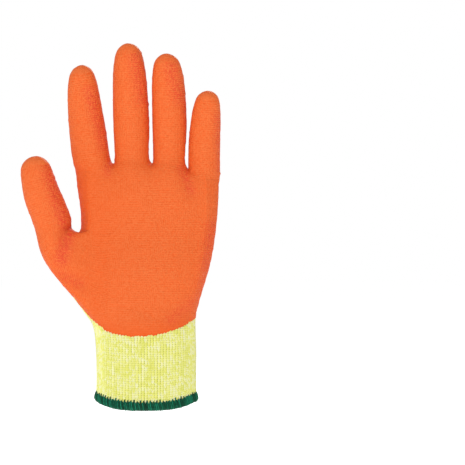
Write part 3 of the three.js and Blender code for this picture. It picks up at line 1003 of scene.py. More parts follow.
    def _lay_thumb(self) -> None:
        """Counts the wales and courses of the thumb, from the middle of its outer side both ways."""
        bands = self.cage.thumb.rolled(ulnar_column(THUMB_FIRST))
        places = self._places_of(self.nodes_of(bands))
        walk = walked(places, axis=1)
        half = walk.shape[1] // 2
        width = np.minimum(walk[:, -1:] / (2 * self.thumb_wales), self.widest_wale)
        wales = (walk[:, half:half + 1] - walk) / width
        heights = walked(places, axis=0)[:, half] / self.course
        self._keep(bands, wales, heights, len(FINGERS) + 1)

    def at_points(self, values: Array) -> Array:
        """Values of the grids, such as the wales, at the points of the surface.

        Args:
            values: one value for each place of the grids.

        Returns:
            One value for each point.
        """
        at = np.zeros(len(self.points))
        at[self.grid.ravel()] = values.ravel()
        return at


def walked(places: Array, axis: int) -> Array:
    """The length walked along the rows or columns of a grid of places, from its first.

    Args:
        places: the places, as rows and columns.
        axis: 0 to walk up the columns, 1 to walk along the rows.

    Returns:
        The length at each place.
    """
    steps = np.linalg.norm(np.diff(places, axis=axis), axis=2)
    walk = np.zeros(places.shape[:2])
    if axis:
        walk[:, 1:] = np.cumsum(steps, axis=1)
    else:
        walk[1:] = np.cumsum(steps, axis=0)
    return walk


def roughness_at(points: Array, size: float, octaves: int = 2) -> Array:
    """Smooth noise from -1 to 1 at each point.

    Args:
        points: the points.
        size: the size of the largest grain.
        octaves: how many grains, each half as large as the one before.

    Returns:
        One value for each point.
    """
    places = (points / size).tolist()
    return np.array([noise.fractal(Vector(p), GRAIN_FADE, GRAIN_RATIO, octaves) for p in places])


@dataclass(frozen=True)
class RaggedEdge:
    """How far an edge of the latex leaves its smooth line: by noise, a tooth at each wale and a shift."""

    noise: float
    tooth: float
    shift: float

    def offsets(self, noises: Array, teeth: Array) -> Array:
        """How much deeper inside the latex each point lies."""
        return self.noise * noises + self.tooth * teeth + self.shift


@dataclass
class DipLine:
    """Where the latex ends: above the cuff, and round the bare knit of the back.

    A patch of latex or of bare knit is kept within so many small faces of a place where it is deeper than the
    speck depth. The rest of it is a speck, and turns into the other one.
    """

    surface: KnitSurface
    grain: float = 4 * MM
    octaves: int = 3
    round_hand: RaggedEdge = RaggedEdge(noise=1.5 * MM, tooth=-0.7 * MM, shift=0.45 * MM)
    over_heel: RaggedEdge = RaggedEdge(noise=0.8 * MM, tooth=0.9 * MM, shift=-0.45 * MM)
    speck_depth: float = 1.2 * MM
    speck_rounds: int = 12
    speck_edge: float = 0.3 * MM

    def depths(self) -> Array:
        """How far each point of the surface lies inside the latex.

        Returns:
            One depth for each point, less than 0 on bare knit.
        """
        surface, sizes = self.surface, self.surface.sizes
        x, y, z = surface.points.T
        off_middle = np.minimum(sizes.dip_spread, np.abs(x - sizes.dip_middle) / (sizes.cuff_width / 2))
        climb = np.where(x < sizes.dip_middle, sizes.dip_climb_radial, sizes.dip_climb_ulnar)
        edge = sizes.dip_height + climb * off_middle**sizes.dip_curve
        edge += sizes.dip_back_slope * np.maximum(0, y)
        teeth = 2 * np.abs(surface.at_points(surface.wales) % 1 - 0.5)
        noises = roughness_at(surface.points, self.grain, self.octaves)
        round_hand = surface.margins * sizes.margin_length + self.round_hand.offsets(noises, teeth)
        over_heel = z - edge + self.over_heel.offsets(noises, teeth)
        return self._without_specks(np.minimum(round_hand, over_heel))

    def _without_specks(self, depths: Array) -> Array:
        """Drops specks of latex, and of bare knit, that stand apart from the rest.

        Args:
            depths: how far each point lies inside the latex.

        Returns:
            The depths, turned round in the specks.
        """
        quads = self.surface.patches(1)[0]
        starts, ends = quads.ravel(), np.roll(quads, 1, axis=1).ravel()
        for side in (1, -1):
            inside = depths * side > 0
            joined = depths * side > self.speck_depth
            for _ in range(self.speck_rounds):
                near = joined[starts] | joined[ends]
                joined[starts[near]] = True
                joined[ends[near]] = True
                joined &= inside
            depths = np.where(inside & ~joined, -side * self.speck_edge, depths)
        return depths


def make_object(
    name: str, points: Array, faces: list[list[int]], material: bpy.types.Material,
) -> bpy.types.Object:
    """Makes a smooth-shaded mesh object at the origin.

    Args:
        name: its name.
        points: its points.
        faces: the corners of its faces.
        material: its material.

    Returns:
        The object, linked to the scene.
    """
    mesh = bpy.data.meshes.new(name)
    mesh.from_pydata(points.tolist(), [], faces)
    mesh.polygons.foreach_set("use_smooth", [True] * len(mesh.polygons))
    mesh.materials.append(material)
    piece = bpy.data.objects.new(name, mesh)
    bpy.context.scene.collection.objects.link(piece)
    return piece


def give_marks(piece: bpy.types.Object, marks: Array) -> None:
    """Stores a wale and a course for each face corner in the UV map, with nothing on the last faces.

    Args:
        piece: the piece.
        marks: the wale and course at each corner of its first faces.
    """
    layer = piece.data.uv_layers.new(name="knit")
    whole = np.zeros((len(piece.data.loops), 2), np.float32)
    whole[:len(marks)] = marks
    layer.data.foreach_set("uv", whole.ravel())


def give_values(piece: bpy.types.Object, name: str, values: Array) -> None:
    """Stores one number for each point of a mesh as an attribute."""
    attribute = piece.data.attributes.new(name, "FLOAT", "POINT")
    attribute.data.foreach_set("value", np.asarray(values, np.float32))


def hand_over(piece: bpy.types.Object, nodes: list[str]) -> None:
    """Lets a piece stand for nodes of the model, and reports it.

    Args:
        piece: the finished piece.
        nodes: the nodes that it replaces.
    """
    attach(piece, "root")
    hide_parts(*nodes)
    piece.data.calc_loop_triangles()
    log.info("%s: %d triangles", piece.name, len(piece.data.loop_triangles))


class NodeTree:
    """A tree of nodes, built link by link."""

    def __init__(self, tree: bpy.types.NodeTree) -> None:
        """Takes a tree that may hold some nodes already."""
        self.tree = tree

    def add(
        self, kind: str, inputs: dict[str | int, object] | None = None, **settings: object,
    ) -> bpy.types.Node:
        """Adds a node.

        Args:
            kind: the node's type.
            inputs: values or sockets for its inputs, by name or number.
            settings: its other settings.

        Returns:
            The node.
        """
        node = self.tree.nodes.new(kind)
        for key, value in settings.items():
            setattr(node, key, value)
        for key, value in (inputs or {}).items():
            self.put(node.inputs[key], value)
        return node

    def put(self, socket: bpy.types.NodeSocket, value: object) -> None:
        """Links a socket to an input, or sets the input's value.

        Args:
            socket: the input.
            value: the socket to link, or the value.
        """
        if isinstance(value, bpy.types.NodeSocket):
            self.tree.links.new(value, socket)
        else:
            socket.default_value = value


class Shader(NodeTree):
    """A material's node tree."""

    def __init__(self, name: str) -> None:
        """Starts a material with one Principled shader.

        Args:
            name: the material's name.
        """
        self.material = bpy.data.materials.new(name)
        self.material.use_nodes = True
        super().__init__(self.material.node_tree)
        self.shader = self.tree.nodes["Principled BSDF"]

    def dress(self, colour: object, roughness: float, specular: float) -> None:
        """Gives the shader its colour, its roughness and its gloss.

        Args:
            colour: a colour or a socket.
            roughness: from 0 for a mirror to 1.
            specular: from 0 for none, with 0.5 for a usual gloss.
        """
        self.put(self.shader.inputs["Base Color"], colour)
        self.put(self.shader.inputs["Roughness"], roughness)
        self.put(self.shader.inputs["Specular IOR Level"], specular)

    def grain(self, size: float, detail: float = 2, roughness: float = 0.5) -> bpy.types.NodeSocket:
        """Noise in the object's own place, whose largest grain has this size.

        Args:
            size: the size of the grain.
            detail: how many finer grains lie on it.
            roughness: how strong each of them is, as a share of the one before.

        Returns:
            The noise, from 0 to 1.
        """
        place = self.add("ShaderNodeTexCoord").outputs["Object"]
        inputs = {"Vector": place, "Scale": 1 / size, "Detail": detail, "Roughness": roughness}
        return self.add("ShaderNodeTexNoise", inputs).outputs["Fac"]

    def attribute(self, name: str) -> bpy.types.NodeSocket:
        """A number stored on the mesh."""
        return self.add("ShaderNodeAttribute", attribute_name=name).outputs["Fac"]

    def maths(self, operation: str, *values: object) -> bpy.types.NodeSocket:
        """The result of a sum, product or like operation.

        Args:
            operation: its name.
            values: values or sockets to work on.

        Returns:
            The result.
        """
        node = self.add("ShaderNodeMath", operation=operation)
        for socket, value in zip(node.inputs, values):
            self.put(socket, value)
        return node.outputs[0]

    def waves(self, axis: str, count: float) -> bpy.types.NodeSocket:
        """Waves from -1 to 1 along the wales (X) or the courses (Y), this many to each stitch.

        Args:
            axis: X or Y.
            count: how many waves a stitch has.

        Returns:
            The height of the waves.
        """
        marks = self.add("ShaderNodeUVMap", uv_map="knit").outputs["UV"]
        place = self.add("ShaderNodeSeparateXYZ", {"Vector": marks}).outputs[axis]
        return self.maths("SINE", self.maths("MULTIPLY", place, 2 * math.pi * count))

    def ramp(self, share: object, stops: list[tuple[float, Colour]]) -> bpy.types.NodeSocket:
        """A colour that runs through stops.

        Args:
            share: the place between the stops.
            stops: the place and colour of each stop.

        Returns:
            The colour.
        """
        node = self.add("ShaderNodeValToRGB", {"Fac": share})
        elements = node.color_ramp.elements
        while len(elements) < len(stops):
            elements.new(0.5)
        for element, (place, colour) in zip(elements, stops):
            element.position = place
            element.color = (*colour, 1)
        return node.outputs["Color"]

    def bump(self, height: object, distance: float) -> None:
        """Gives the shader a relief of this height, in metres, on top of any that it has.

        Args:
            height: the relief, from 0 to 1.
            distance: its height in metres.
        """
        node = self.add("ShaderNodeBump", {"Height": height, "Distance": distance, "Strength": 1.0})
        had = self.shader.inputs["Normal"].links
        if had:
            self.put(node.inputs["Normal"], had[0].from_socket)
        self.put(self.shader.inputs["Normal"], node.outputs["Normal"])


@dataclass(frozen=True)
class YarnFinish:
    """Spun yarn in shades of one colour, paler in the middle of some lengths as painted light.

    Fleck and fibre are the sizes of its grains. Marl, tone and the lit leg's paling are how far its shade
    changes along the yarn, from stitch to stitch and in the middle of a length. That paling is painted light:
    the middle of the second length of yarn, which in a stitch is the leg on the side of the lamps, is paler.
    Loops is the relief of knit on a wall.
    """

    name: str
    deep: Colour
    main: Colour
    pale: Colour
    fleck: float = 1.3 * MM
    fibre: float = 0.22 * MM
    relief: float = 0.12 * MM
    marl: float = 1.6
    tone: float = 0.3
    lit_leg_paling: float = 0
    loops: float = 0
    stops: tuple[float, float, float] = (0.1, 0.5, 0.9)
    roughness: float = 0.9
    specular: float = 0.2
    sheen: float = 0.2

    def build(self) -> bpy.types.Material:
        """Makes the material. The mean of each change of shade is taken off, a third of it for the painted
        light.

        Returns:
            The material.
        """
        shader = Shader(self.name)
        noise_share = shader.grain(self.fleck, detail=3, roughness=0.6)
        marl = shader.maths("MULTIPLY_ADD", noise_share, self.marl, 0.5 - self.marl / 2)
        share = shader.maths("MULTIPLY_ADD", shader.attribute("tone"), self.tone, marl)
        share = shader.maths("SUBTRACT", share, self.tone / 2 + self.lit_leg_paling / 3)
        # Painted light: the middle of each stitch's second leg, on the side of the lamps, is made paler.
        share = shader.maths("MULTIPLY_ADD", shader.attribute("fleck"), self.lit_leg_paling, share)
        colour = shader.ramp(share, list(zip(self.stops, (self.deep, self.main, self.pale))))
        shader.dress(colour, self.roughness, self.specular)
        shader.put(shader.shader.inputs["Sheen Weight"], self.sheen)
        if self.loops:
            rows = shader.maths("MULTIPLY", shader.waves("X", 1), shader.waves("Y", 1))
            shader.bump(rows, self.loops)
        shader.bump(shader.grain(self.fibre), self.relief)
        return shader.material


@dataclass(frozen=True)
class LatexFinish:
    """Matt natural latex that shows the knit below, redder in its creases and deeper coloured by its edge.

    The redder creases are painted shade. The legs of the stitches show as fine lines up the wales in some
    patches, and the courses as lines across in others. The colour is darker in the low parts of the relief,
    partly as thinner latex and partly as painted shade, and lighter on its rises as painted highlight. A
    contrast and a shift turn the noise of the patches into a share from 0 to 1, and the height of the relief
    into how much painted shade a crease gets.
    """

    name: str
    main: Colour
    rise_highlight: Colour
    deep: Colour
    crease_shade_red: Colour
    crinkle: float = 1.15 * MM
    patch: float = 11 * MM
    patch_contrast: float = 4
    patch_shift: float = -1.7
    lines: float = 0.085
    dots: float = 0.1
    crease_shade_contrast: float = -6
    crease_shade_shift: float = 3.7
    stops: tuple[float, float, float] = (0.28, 0.5, 0.72)
    relief: float = 0.7 * MM
    roughness: float = 0.6
    specular: float = 0.2

    def build(self) -> bpy.types.Material:
        """Makes the material.

        Returns:
            The material.
        """
        shader = Shader(self.name)
        fine = shader.grain(self.crinkle, detail=3, roughness=0.7)
        patches = shader.grain(self.patch, detail=1)
        turn = shader.maths("MULTIPLY_ADD", patches, self.patch_contrast, self.patch_shift)
        turn.node.use_clamp = True
        across = shader.maths("MULTIPLY", shader.waves("Y", 1), shader.maths("SUBTRACT", 1, turn))
        lines = shader.maths("MULTIPLY_ADD", shader.waves("X", 2), turn, across)
        height = shader.maths("MULTIPLY_ADD", lines, self.lines, fine)
        # The colour follows the relief: darker in its low parts, partly thinner latex and partly painted
        # shade, and lighter on its rises as painted highlight.
        tint = shader.ramp(height, list(zip(self.stops, (self.deep, self.main, self.rise_highlight))))
        dots = shader.maths("MULTIPLY", shader.waves("X", 1), shader.waves("Y", 1))
        dotted = shader.maths("MULTIPLY_ADD", dots, self.dots, height)
        # Painted shade: the latex turns redder in the crinkled stretches, most in the low parts of the relief
        # and dots.
        creased = shader.maths("MULTIPLY_ADD", dotted, self.crease_shade_contrast, self.crease_shade_shift)
        creased = shader.maths("MULTIPLY", creased, shader.attribute("crease"))
        for share, colour in ((creased, self.crease_shade_red), (shader.attribute("edge"), self.deep)):
            mix = shader.add("ShaderNodeMix", data_type="RGBA", clamp_factor=True)
            shader.put(mix.inputs[MIX_SHARE], share)
            shader.put(mix.inputs[MIX_FIRST], tint)
            shader.put(mix.inputs[MIX_SECOND], (*colour, 1))
            tint = mix.outputs[MIX_COLOUR]
        shader.dress(tint, self.roughness, self.specular)
        shader.bump(height, self.relief)
        return shader.material


# The cream yarn's stitches get a paler middle on their second leg, painted light on the side of the lamps.
CREAM_YARN = YarnFinish(
    "light_yellow_marl_yarn", deep=(0.78, 0.8, 0.1), main=(0.935, 0.93, 0.31), pale=(0.99, 0.985, 0.9),
    fleck=0.65 * MM, marl=1.05, tone=0.35, lit_leg_paling=0.14, sheen=0,
)
# The liner's yarn is painted a darker yellow than the stitches' yarn, as the shade seen in the gaps between
# them.
LINER_YARN_IN_PAINTED_SHADE = YarnFinish(
    "yellow_yarn_in_shade", deep=(0.38, 0.37, 0.01), main=(0.53, 0.52, 0.02), pale=(0.63, 0.62, 0.06),
    loops=0.5 * MM,
)
GREEN_THREAD = YarnFinish(
    "dark_green_thread", deep=(0.001, 0.035, 0.016), main=(0.002, 0.1, 0.05), pale=(0.01, 0.24, 0.13),
    marl=0.9, tone=0.6, roughness=0.7, sheen=0,
)
# The crease colour is painted shade, and the lightest colour is painted highlight on the rises of the relief.
ORANGE_LATEX = LatexFinish(
    "orange_latex", main=(0.87, 0.155, 0.031), rise_highlight=(0.9, 0.2, 0.05), deep=(0.84, 0.108, 0.01),
    crease_shade_red=(0.78, 0.068, 0.025),
)


def mirrored(bend: Bend) -> tuple[Bend, Bend]:
    """A bend of yarn and its twin on the other side, which together make a stitch."""
    twin = tuple(Vector((-point.x, point.y, point.z)) for point in bend)
    return bend, twin


# Bends of yarn, in shares of a width, a height and a depth. Those of a winding are how far it reaches out of
# the wall, up it and along it. A winding goes up the outside, up the inside and round below.
# The twin leg of a stitch comes second, so its middle takes the painted light of the fleck hump.
STITCH_LEGS = mirrored((Vector((0.05, -0.72, -0.62)), Vector((0.24, 0.02, 0.1)), Vector((0.37, 0.92, -0.58))))
TOOTH_LEGS = mirrored((Vector((0.04, -0.3, -0.2)), Vector((0.16, 0.5, 0.75)), Vector((0.05, 1.1, -0.5))))
WINDING = (
    (Vector((1, -0.05, 0)), Vector((1.2, 0.6, 0.6)), Vector((0.65, 1.15, 0.9))),
    (Vector((-1, 0, 0)), Vector((-1, 0.5, 0)), Vector((-0.8, 0.95, 0))),
    (Vector((1, 0.03, 0)), Vector((0, -0.8, 0)), Vector((-1, 0.03, 0))),
)


class YarnTree(NodeTree):
    """Geometry nodes that set the same few bent lengths of round yarn on each point of a mesh.

    Each point carries a turn and a stretch. The bends are scaled by a width, a height and a depth before the
    yarn is swept along them, so that it stays round.
    """

    def __init__(self, name: str, bends: tuple[Bend, ...], material: bpy.types.Material) -> None:
        """Builds the tree.

        Args:
            name: the tree's name.
            bends: the start, middle and end of each length of yarn.
            material: the yarn.
        """
        super().__init__(bpy.data.node_groups.new(name, "GeometryNodeTree"))
        self.sockets: dict[str, str] = {}
        self.tree.interface.new_socket("Geometry", in_out="INPUT", socket_type="NodeSocketGeometry")
        self.tree.interface.new_socket("Geometry", in_out="OUTPUT", socket_type="NodeSocketGeometry")
        for title in ("Width", "Height", "Depth", "Yarn radius"):
            made = self.tree.interface.new_socket(title, in_out="INPUT", socket_type="NodeSocketFloat")
            self.sockets[title] = made.identifier
        for title in ("Yarn sides", "Bend steps", "Seed"):
            made = self.tree.interface.new_socket(title, in_out="INPUT", socket_type="NodeSocketInt")
            self.sockets[title] = made.identifier
        self._build(bends, material)

    def _build(self, bends: tuple[Bend, ...], material: bpy.types.Material) -> None:
        """Lays the nodes from the group's inputs to its output.

        A length's fleck is a hump along it, which is highest in the middle: 0 on the first length, 1 on the
        second and so on. It carries painted light: on a stitch it pales the middle of the second leg, on the
        lit side.

        Args:
            bends: the start, middle and end of each length of yarn.
            material: the yarn.
        """
        given = self.add("NodeGroupInput").outputs
        section = self.add(
            "GeometryNodeCurvePrimitiveCircle",
            {"Resolution": given["Yarn sides"], "Radius": given["Yarn radius"]},
        )
        sizes = {"X": given["Width"], "Y": given["Height"], "Z": given["Depth"]}
        scale = self.add("ShaderNodeCombineXYZ", sizes).outputs[0]
        lengths = self.add("GeometryNodeJoinGeometry")
        along = self.add("GeometryNodeSplineParameter").outputs[0]
        left = self.add("ShaderNodeMath", {0: 1.0, 1: along}, operation="SUBTRACT").outputs[0]
        hump = self.add("ShaderNodeMath", {0: along, 1: left}, operation="MULTIPLY").outputs[0]
        for number, (start, middle, end) in enumerate(bends):
            line = self.add(
                "GeometryNodeCurveQuadraticBezier",
                {"Resolution": given["Bend steps"], "Start": start, "Middle": middle, "End": end},
            )
            scaled = self.add("GeometryNodeTransform", {"Geometry": line.outputs[0], "Scale": scale})
            # Painted light: a hump on the second length, which the material turns paler.
            fleck = self.add("ShaderNodeMath", {0: hump, 1: HUMP_SCALE * number}, operation="MULTIPLY")
            marked = self.add(
                "GeometryNodeStoreNamedAttribute",
                {"Geometry": scaled.outputs[0], "Name": "fleck", "Value": fleck.outputs[0]},
            )
            tube = self.add(
                "GeometryNodeCurveToMesh",
                {"Curve": marked.outputs[0], "Profile Curve": section.outputs[0], "Fill Caps": True},
            )
            self.put(lengths.inputs[0], tube.outputs[0])
        turn = self.add("GeometryNodeInputNamedAttribute", {"Name": "turn"}, data_type="FLOAT_VECTOR")
        stretch = self.add("GeometryNodeInputNamedAttribute", {"Name": "stretch"}, data_type="FLOAT_VECTOR")
        rotation = self.add("FunctionNodeEulerToRotation", {"Euler": turn.outputs[0]})
        placed = self.add("GeometryNodeInstanceOnPoints", {
            "Points": given["Geometry"],
            "Instance": lengths.outputs[0],
            "Rotation": rotation.outputs[0],
            "Scale": stretch.outputs[0],
        })
        tone = self.add("FunctionNodeRandomValue", {"Seed": given["Seed"]})
        kept = self.add(
            "GeometryNodeStoreNamedAttribute",
            {"Geometry": placed.outputs[0], "Name": "tone", "Value": tone.outputs[RANDOM_NUMBER]},
            domain="INSTANCE",
        )
        real = self.add("GeometryNodeRealizeInstances", {"Geometry": kept.outputs[0]})
        smooth = self.add("GeometryNodeSetShadeSmooth", {"Geometry": real.outputs[0]})
        finish = self.add("GeometryNodeSetMaterial", {"Geometry": smooth.outputs[0], "Material": material})
        self.add("NodeGroupOutput", {0: finish.outputs[0]})

    def grown(
        self, name: str, places: Array, turns: Array, stretches: Array, values: dict[str, float],
    ) -> bpy.types.Object:
        """Sets the stitches on their places and makes them one plain mesh.

        Args:
            name: the name of the new piece.
            places: where the stitches lie.
            turns: their rotations, as Euler angles.
            stretches: their scales.
            values: the tree's inputs, by name.

        Returns:
            The piece, at the origin and with no modifier.
        """
        mesh = bpy.data.meshes.new(name + "_places")
        mesh.from_pydata(places.tolist(), [], [])
        for title, vectors in (("turn", turns), ("stretch", stretches)):
            attribute = mesh.attributes.new(title, "FLOAT_VECTOR", "POINT")
            attribute.data.foreach_set("vector", np.asarray(vectors, np.float32).ravel())
        holder = bpy.data.objects.new(name + "_places", mesh)
        bpy.context.scene.collection.objects.link(holder)
        modifier = holder.modifiers.new("stitches", "NODES")
        modifier.node_group = self.tree
        for title, value in values.items():
            modifier[self.sockets[title]] = value
        depsgraph = bpy.context.evaluated_depsgraph_get()
        made = bpy.data.meshes.new_from_object(holder.evaluated_get(depsgraph))
        bpy.data.objects.remove(holder)
        made.name = name
        piece = bpy.data.objects.new(name, made)
        bpy.context.scene.collection.objects.link(piece)
        return piece


def turned(across: Array, up: Array, out: Array) -> Array:
    """Euler angles of the frames whose axes are given, one row for each."""
    frames = np.stack([across, up, out], axis=2)
    return np.array([Matrix(turn.tolist()).to_euler() for turn in frames])


def unit(vectors: Array) -> Array:
    """The same directions at length one."""
    return vectors / np.maximum(np.linalg.norm(vectors, axis=-1, keepdims=True), NO_LENGTH)


@dataclass
class Liner:
    """The knitted liner: a wall under the stitches, in yarn painted darker as shade, and the stitches where
    the latex leaves them bare.

    A stitch is stretched by a share between least and most. Stitches go on this far under the latex, and
    start this far above the rim. The wall's faces span a few steps of the surface.
    """

    surface: KnitSurface
    outer: float = -0.75 * MM
    inner: float = -1.5 * MM
    wall_step: int = 2
    wall_tone: float = 0.5
    yarn_radius: float = 0.42 * MM
    yarn_sides: int = 4
    bend_steps: int = 3
    wale: float = 2.4 * MM
    relief: float = 1 * MM
    least: float = 0.55
    most: float = 2.5
    under_latex: float = 1.5 * MM
    above_rim: float = 2.4 * MM
    seed: int = 7

    def wall(self) -> bpy.types.Object:
        """Makes the wall, a closed shell with half as many points each way as the surface.

        Returns:
            The piece.
        """
        surface = self.surface
        quads, marks = surface.patches(self.wall_step)
        used, flat = np.unique(quads, return_inverse=True)
        quads = flat.reshape(quads.shape)
        count = len(used)
        points, normals = surface.points[used], surface.normals[used]
        rim = np.searchsorted(used, surface.hand_nodes[0, ::self.wall_step])
        sides = np.stack([rim[1:], rim[:-1], rim[:-1] + count, rim[1:] + count], axis=1)
        faces = np.concatenate([quads, quads[:, ::-1] + count, sides])
        both = np.concatenate([points + normals * self.outer, points + normals * self.inner])
        # The wall takes the darker liner yarn: painted shade for the gaps between the stitches.
        piece = make_object("knit_liner", both, faces.tolist(), LINER_YARN_IN_PAINTED_SHADE.build())
        give_marks(piece, np.concatenate([marks, marks[:, ::-1]]).reshape(-1, 2))
        give_values(piece, "tone", np.full(2 * count, self.wall_tone))
        return piece

    def _bare_triangles(self, depths: Array) -> tuple[Array, Array, Array, Array]:
        """Splits each small face that the latex leaves bare in two.

        Args:
            depths: how far each point of the surface lies inside the latex.

        Returns:
            The points, the wales and the courses at the corners of each triangle, and its sleeve.
        """
        surface = self.surface
        faces = np.flatnonzero(surface.sleeve_of != MISSING)
        grids = [values[faces] for values in (surface.grid, surface.wales, surface.courses)]
        parts = []
        for triangle in (((0, 0), (0, 1), (1, 1)), ((0, 0), (1, 1), (1, 0))):
            parts.append([
                np.stack([g[:, v:STEPS + v, u:STEPS + u].ravel() for v, u in triangle], axis=1) for g in grids
            ])
        nodes, wales, courses = (np.concatenate([part[k] for part in parts]) for k in range(3))
        sleeves = np.tile(np.repeat(surface.sleeve_of[faces], STEPS * STEPS), 2)
        bare = depths[nodes].min(axis=1) < self.under_latex
        return nodes[bare], wales[bare], courses[bare], sleeves[bare]

    def _candidates(self, wales: Array, courses: Array) -> tuple[Array, Array, Array]:
        """Finds the stitches that triangles may hold, from the least wale and course of each one up.

        Args:
            wales: the wales at the corners of each triangle.
            courses: the courses at them.

        Returns:
            The triangle, the wale and the course of each stitch.
        """
        found = []
        for more_wales in (0, 1):
            for more_courses in (0, 1):
                wale = np.ceil(wales.min(axis=1) - 0.5) + 0.5 + more_wales
                course = np.ceil(courses.min(axis=1) - 0.5) + 0.5 + more_courses
                near = (wale <= wales.max(axis=1)) & (course <= courses.max(axis=1))
                found.append((np.flatnonzero(near), wale[near], course[near]))
        index, wale, course = (np.concatenate([part[k] for part in found]) for k in range(3))
        return index, wale, course

    def _lattice(self, depths: Array) -> dict[str, Array]:
        """Finds where the stitches lie: a wale and a course are both a whole number and a half there.

        Args:
            depths: how far each point of the surface lies inside the latex.

        Returns:
            The place, normal, wale and course vector, height on the sleeve and sleeve of each stitch.
        """
        surface = self.surface
        nodes, wales, courses, sleeves = self._bare_triangles(depths)
        index, wale, course = self._candidates(wales, courses)
        nodes, sleeves = nodes[index], sleeves[index]
        # Solves for the shares of a triangle's second and third corner that give the wale and the course.
        w, c = wales[index], courses[index]
        dw, dc = w[:, 1:] - w[:, :1], c[:, 1:] - c[:, :1]
        area = dw[:, 0] * dc[:, 1] - dw[:, 1] * dc[:, 0]
        area = np.where(np.abs(area) < NO_AREA, np.nan, area)
        to_wale, to_course = wale - w[:, 0], course - c[:, 0]
        second = (to_wale * dc[:, 1] - dw[:, 1] * to_course) / area
        third = (dw[:, 0] * to_course - to_wale * dc[:, 0]) / area
        inside = (second >= -SHARE_SLACK) & (third >= -SHARE_SLACK) & (second + third <= 1 + SHARE_SLACK)
        keys = np.stack([sleeves, wale * 2, course * 2], axis=1)
        _, first = np.unique(keys[inside], axis=0, return_index=True)
        chosen = np.flatnonzero(inside)[first]
        shares = np.stack([1 - second - third, second, third], axis=1)[chosen]
        corners = surface.points[nodes[chosen]]
        edges = corners[:, 1:] - corners[:, :1]
        dw, dc, area = dw[chosen], dc[chosen], area[chosen, None]
        return {
            "place": (corners * shares[..., None]).sum(axis=1),
            "out": unit((surface.normals[nodes[chosen]] * shares[..., None]).sum(axis=1)),
            "wale": (edges[:, 0] * dc[:, 1:] - edges[:, 1] * dc[:, :1]) / area,
            "course": (edges[:, 1] * dw[:, :1] - edges[:, 0] * dw[:, 1:]) / area,
            "depth": (depths[nodes[chosen]] * shares).sum(axis=1),
            "row": course[chosen] * surface.course,
            "sleeve": sleeves[chosen],
        }

    def stitches(self, depths: Array) -> list[bpy.types.Object]:
        """Makes the stitches of the cuff, of the back of the hand and of the digits.

        Args:
            depths: how far each point of the surface lies inside the latex.

        Returns:
            One piece for the cuff, one for the hand and one for all digits.
        """
        tree = YarnTree("stitch", STITCH_LEGS, CREAM_YARN.build())
        found = self._lattice(depths)
        seen = (found["depth"] < self.under_latex) & ((found["sleeve"] > 0) | (found["row"] > self.above_rim))
        found = {key: values[seen] for key, values in found.items()}
        out = found["out"]
        up = found["course"] - out * (found["course"] * out).sum(axis=1, keepdims=True)
        height = np.linalg.norm(up, axis=1)
        up = unit(up)
        across = np.cross(up, out)
        width = np.abs((found["wale"] * across).sum(axis=1))
        stretch = np.stack([width / self.wale, height / self.surface.course, np.ones(len(width))], axis=1)
        stretch = np.clip(stretch, self.least, self.most)
        turns = turned(across, up, out)
        is_cuff = (found["sleeve"] == 0) & (found["place"][:, 2] < self.surface.sizes.wrist_height)
        values = {
            "Width": self.wale,
            "Height": self.surface.course,
            "Depth": self.relief,
            "Yarn radius": self.yarn_radius,
            "Yarn sides": self.yarn_sides,
            "Bend steps": self.bend_steps,
            "Seed": self.seed,
        }
        groups = {
            "cuff_stitches": is_cuff,
            "hand_stitches": (found["sleeve"] == 0) & ~is_cuff,
            "digit_stitches": found["sleeve"] > 0,
        }
        return [
            tree.grown(name, found["place"][chosen], turns[chosen], stretch[chosen], values)
            for name, chosen in groups.items()
        ]

    def build(self, depths: Array) -> None:
        """Makes the wall and the stitches, and hands them over.

        Args:
            depths: how far each point of the surface lies inside the latex.
        """
        digits = ["knit_index", "knit_middle", "knit_ring", "knit_little", "knit_thumb_base", "knit_thumb"]
        hand_over(self.wall(), ["knit_cuff", "knit_palm", *digits])
        for piece, nodes in zip(self.stitches(depths), (["knit_cuff"], ["knit_palm"], digits)):
            hand_over(piece, nodes)


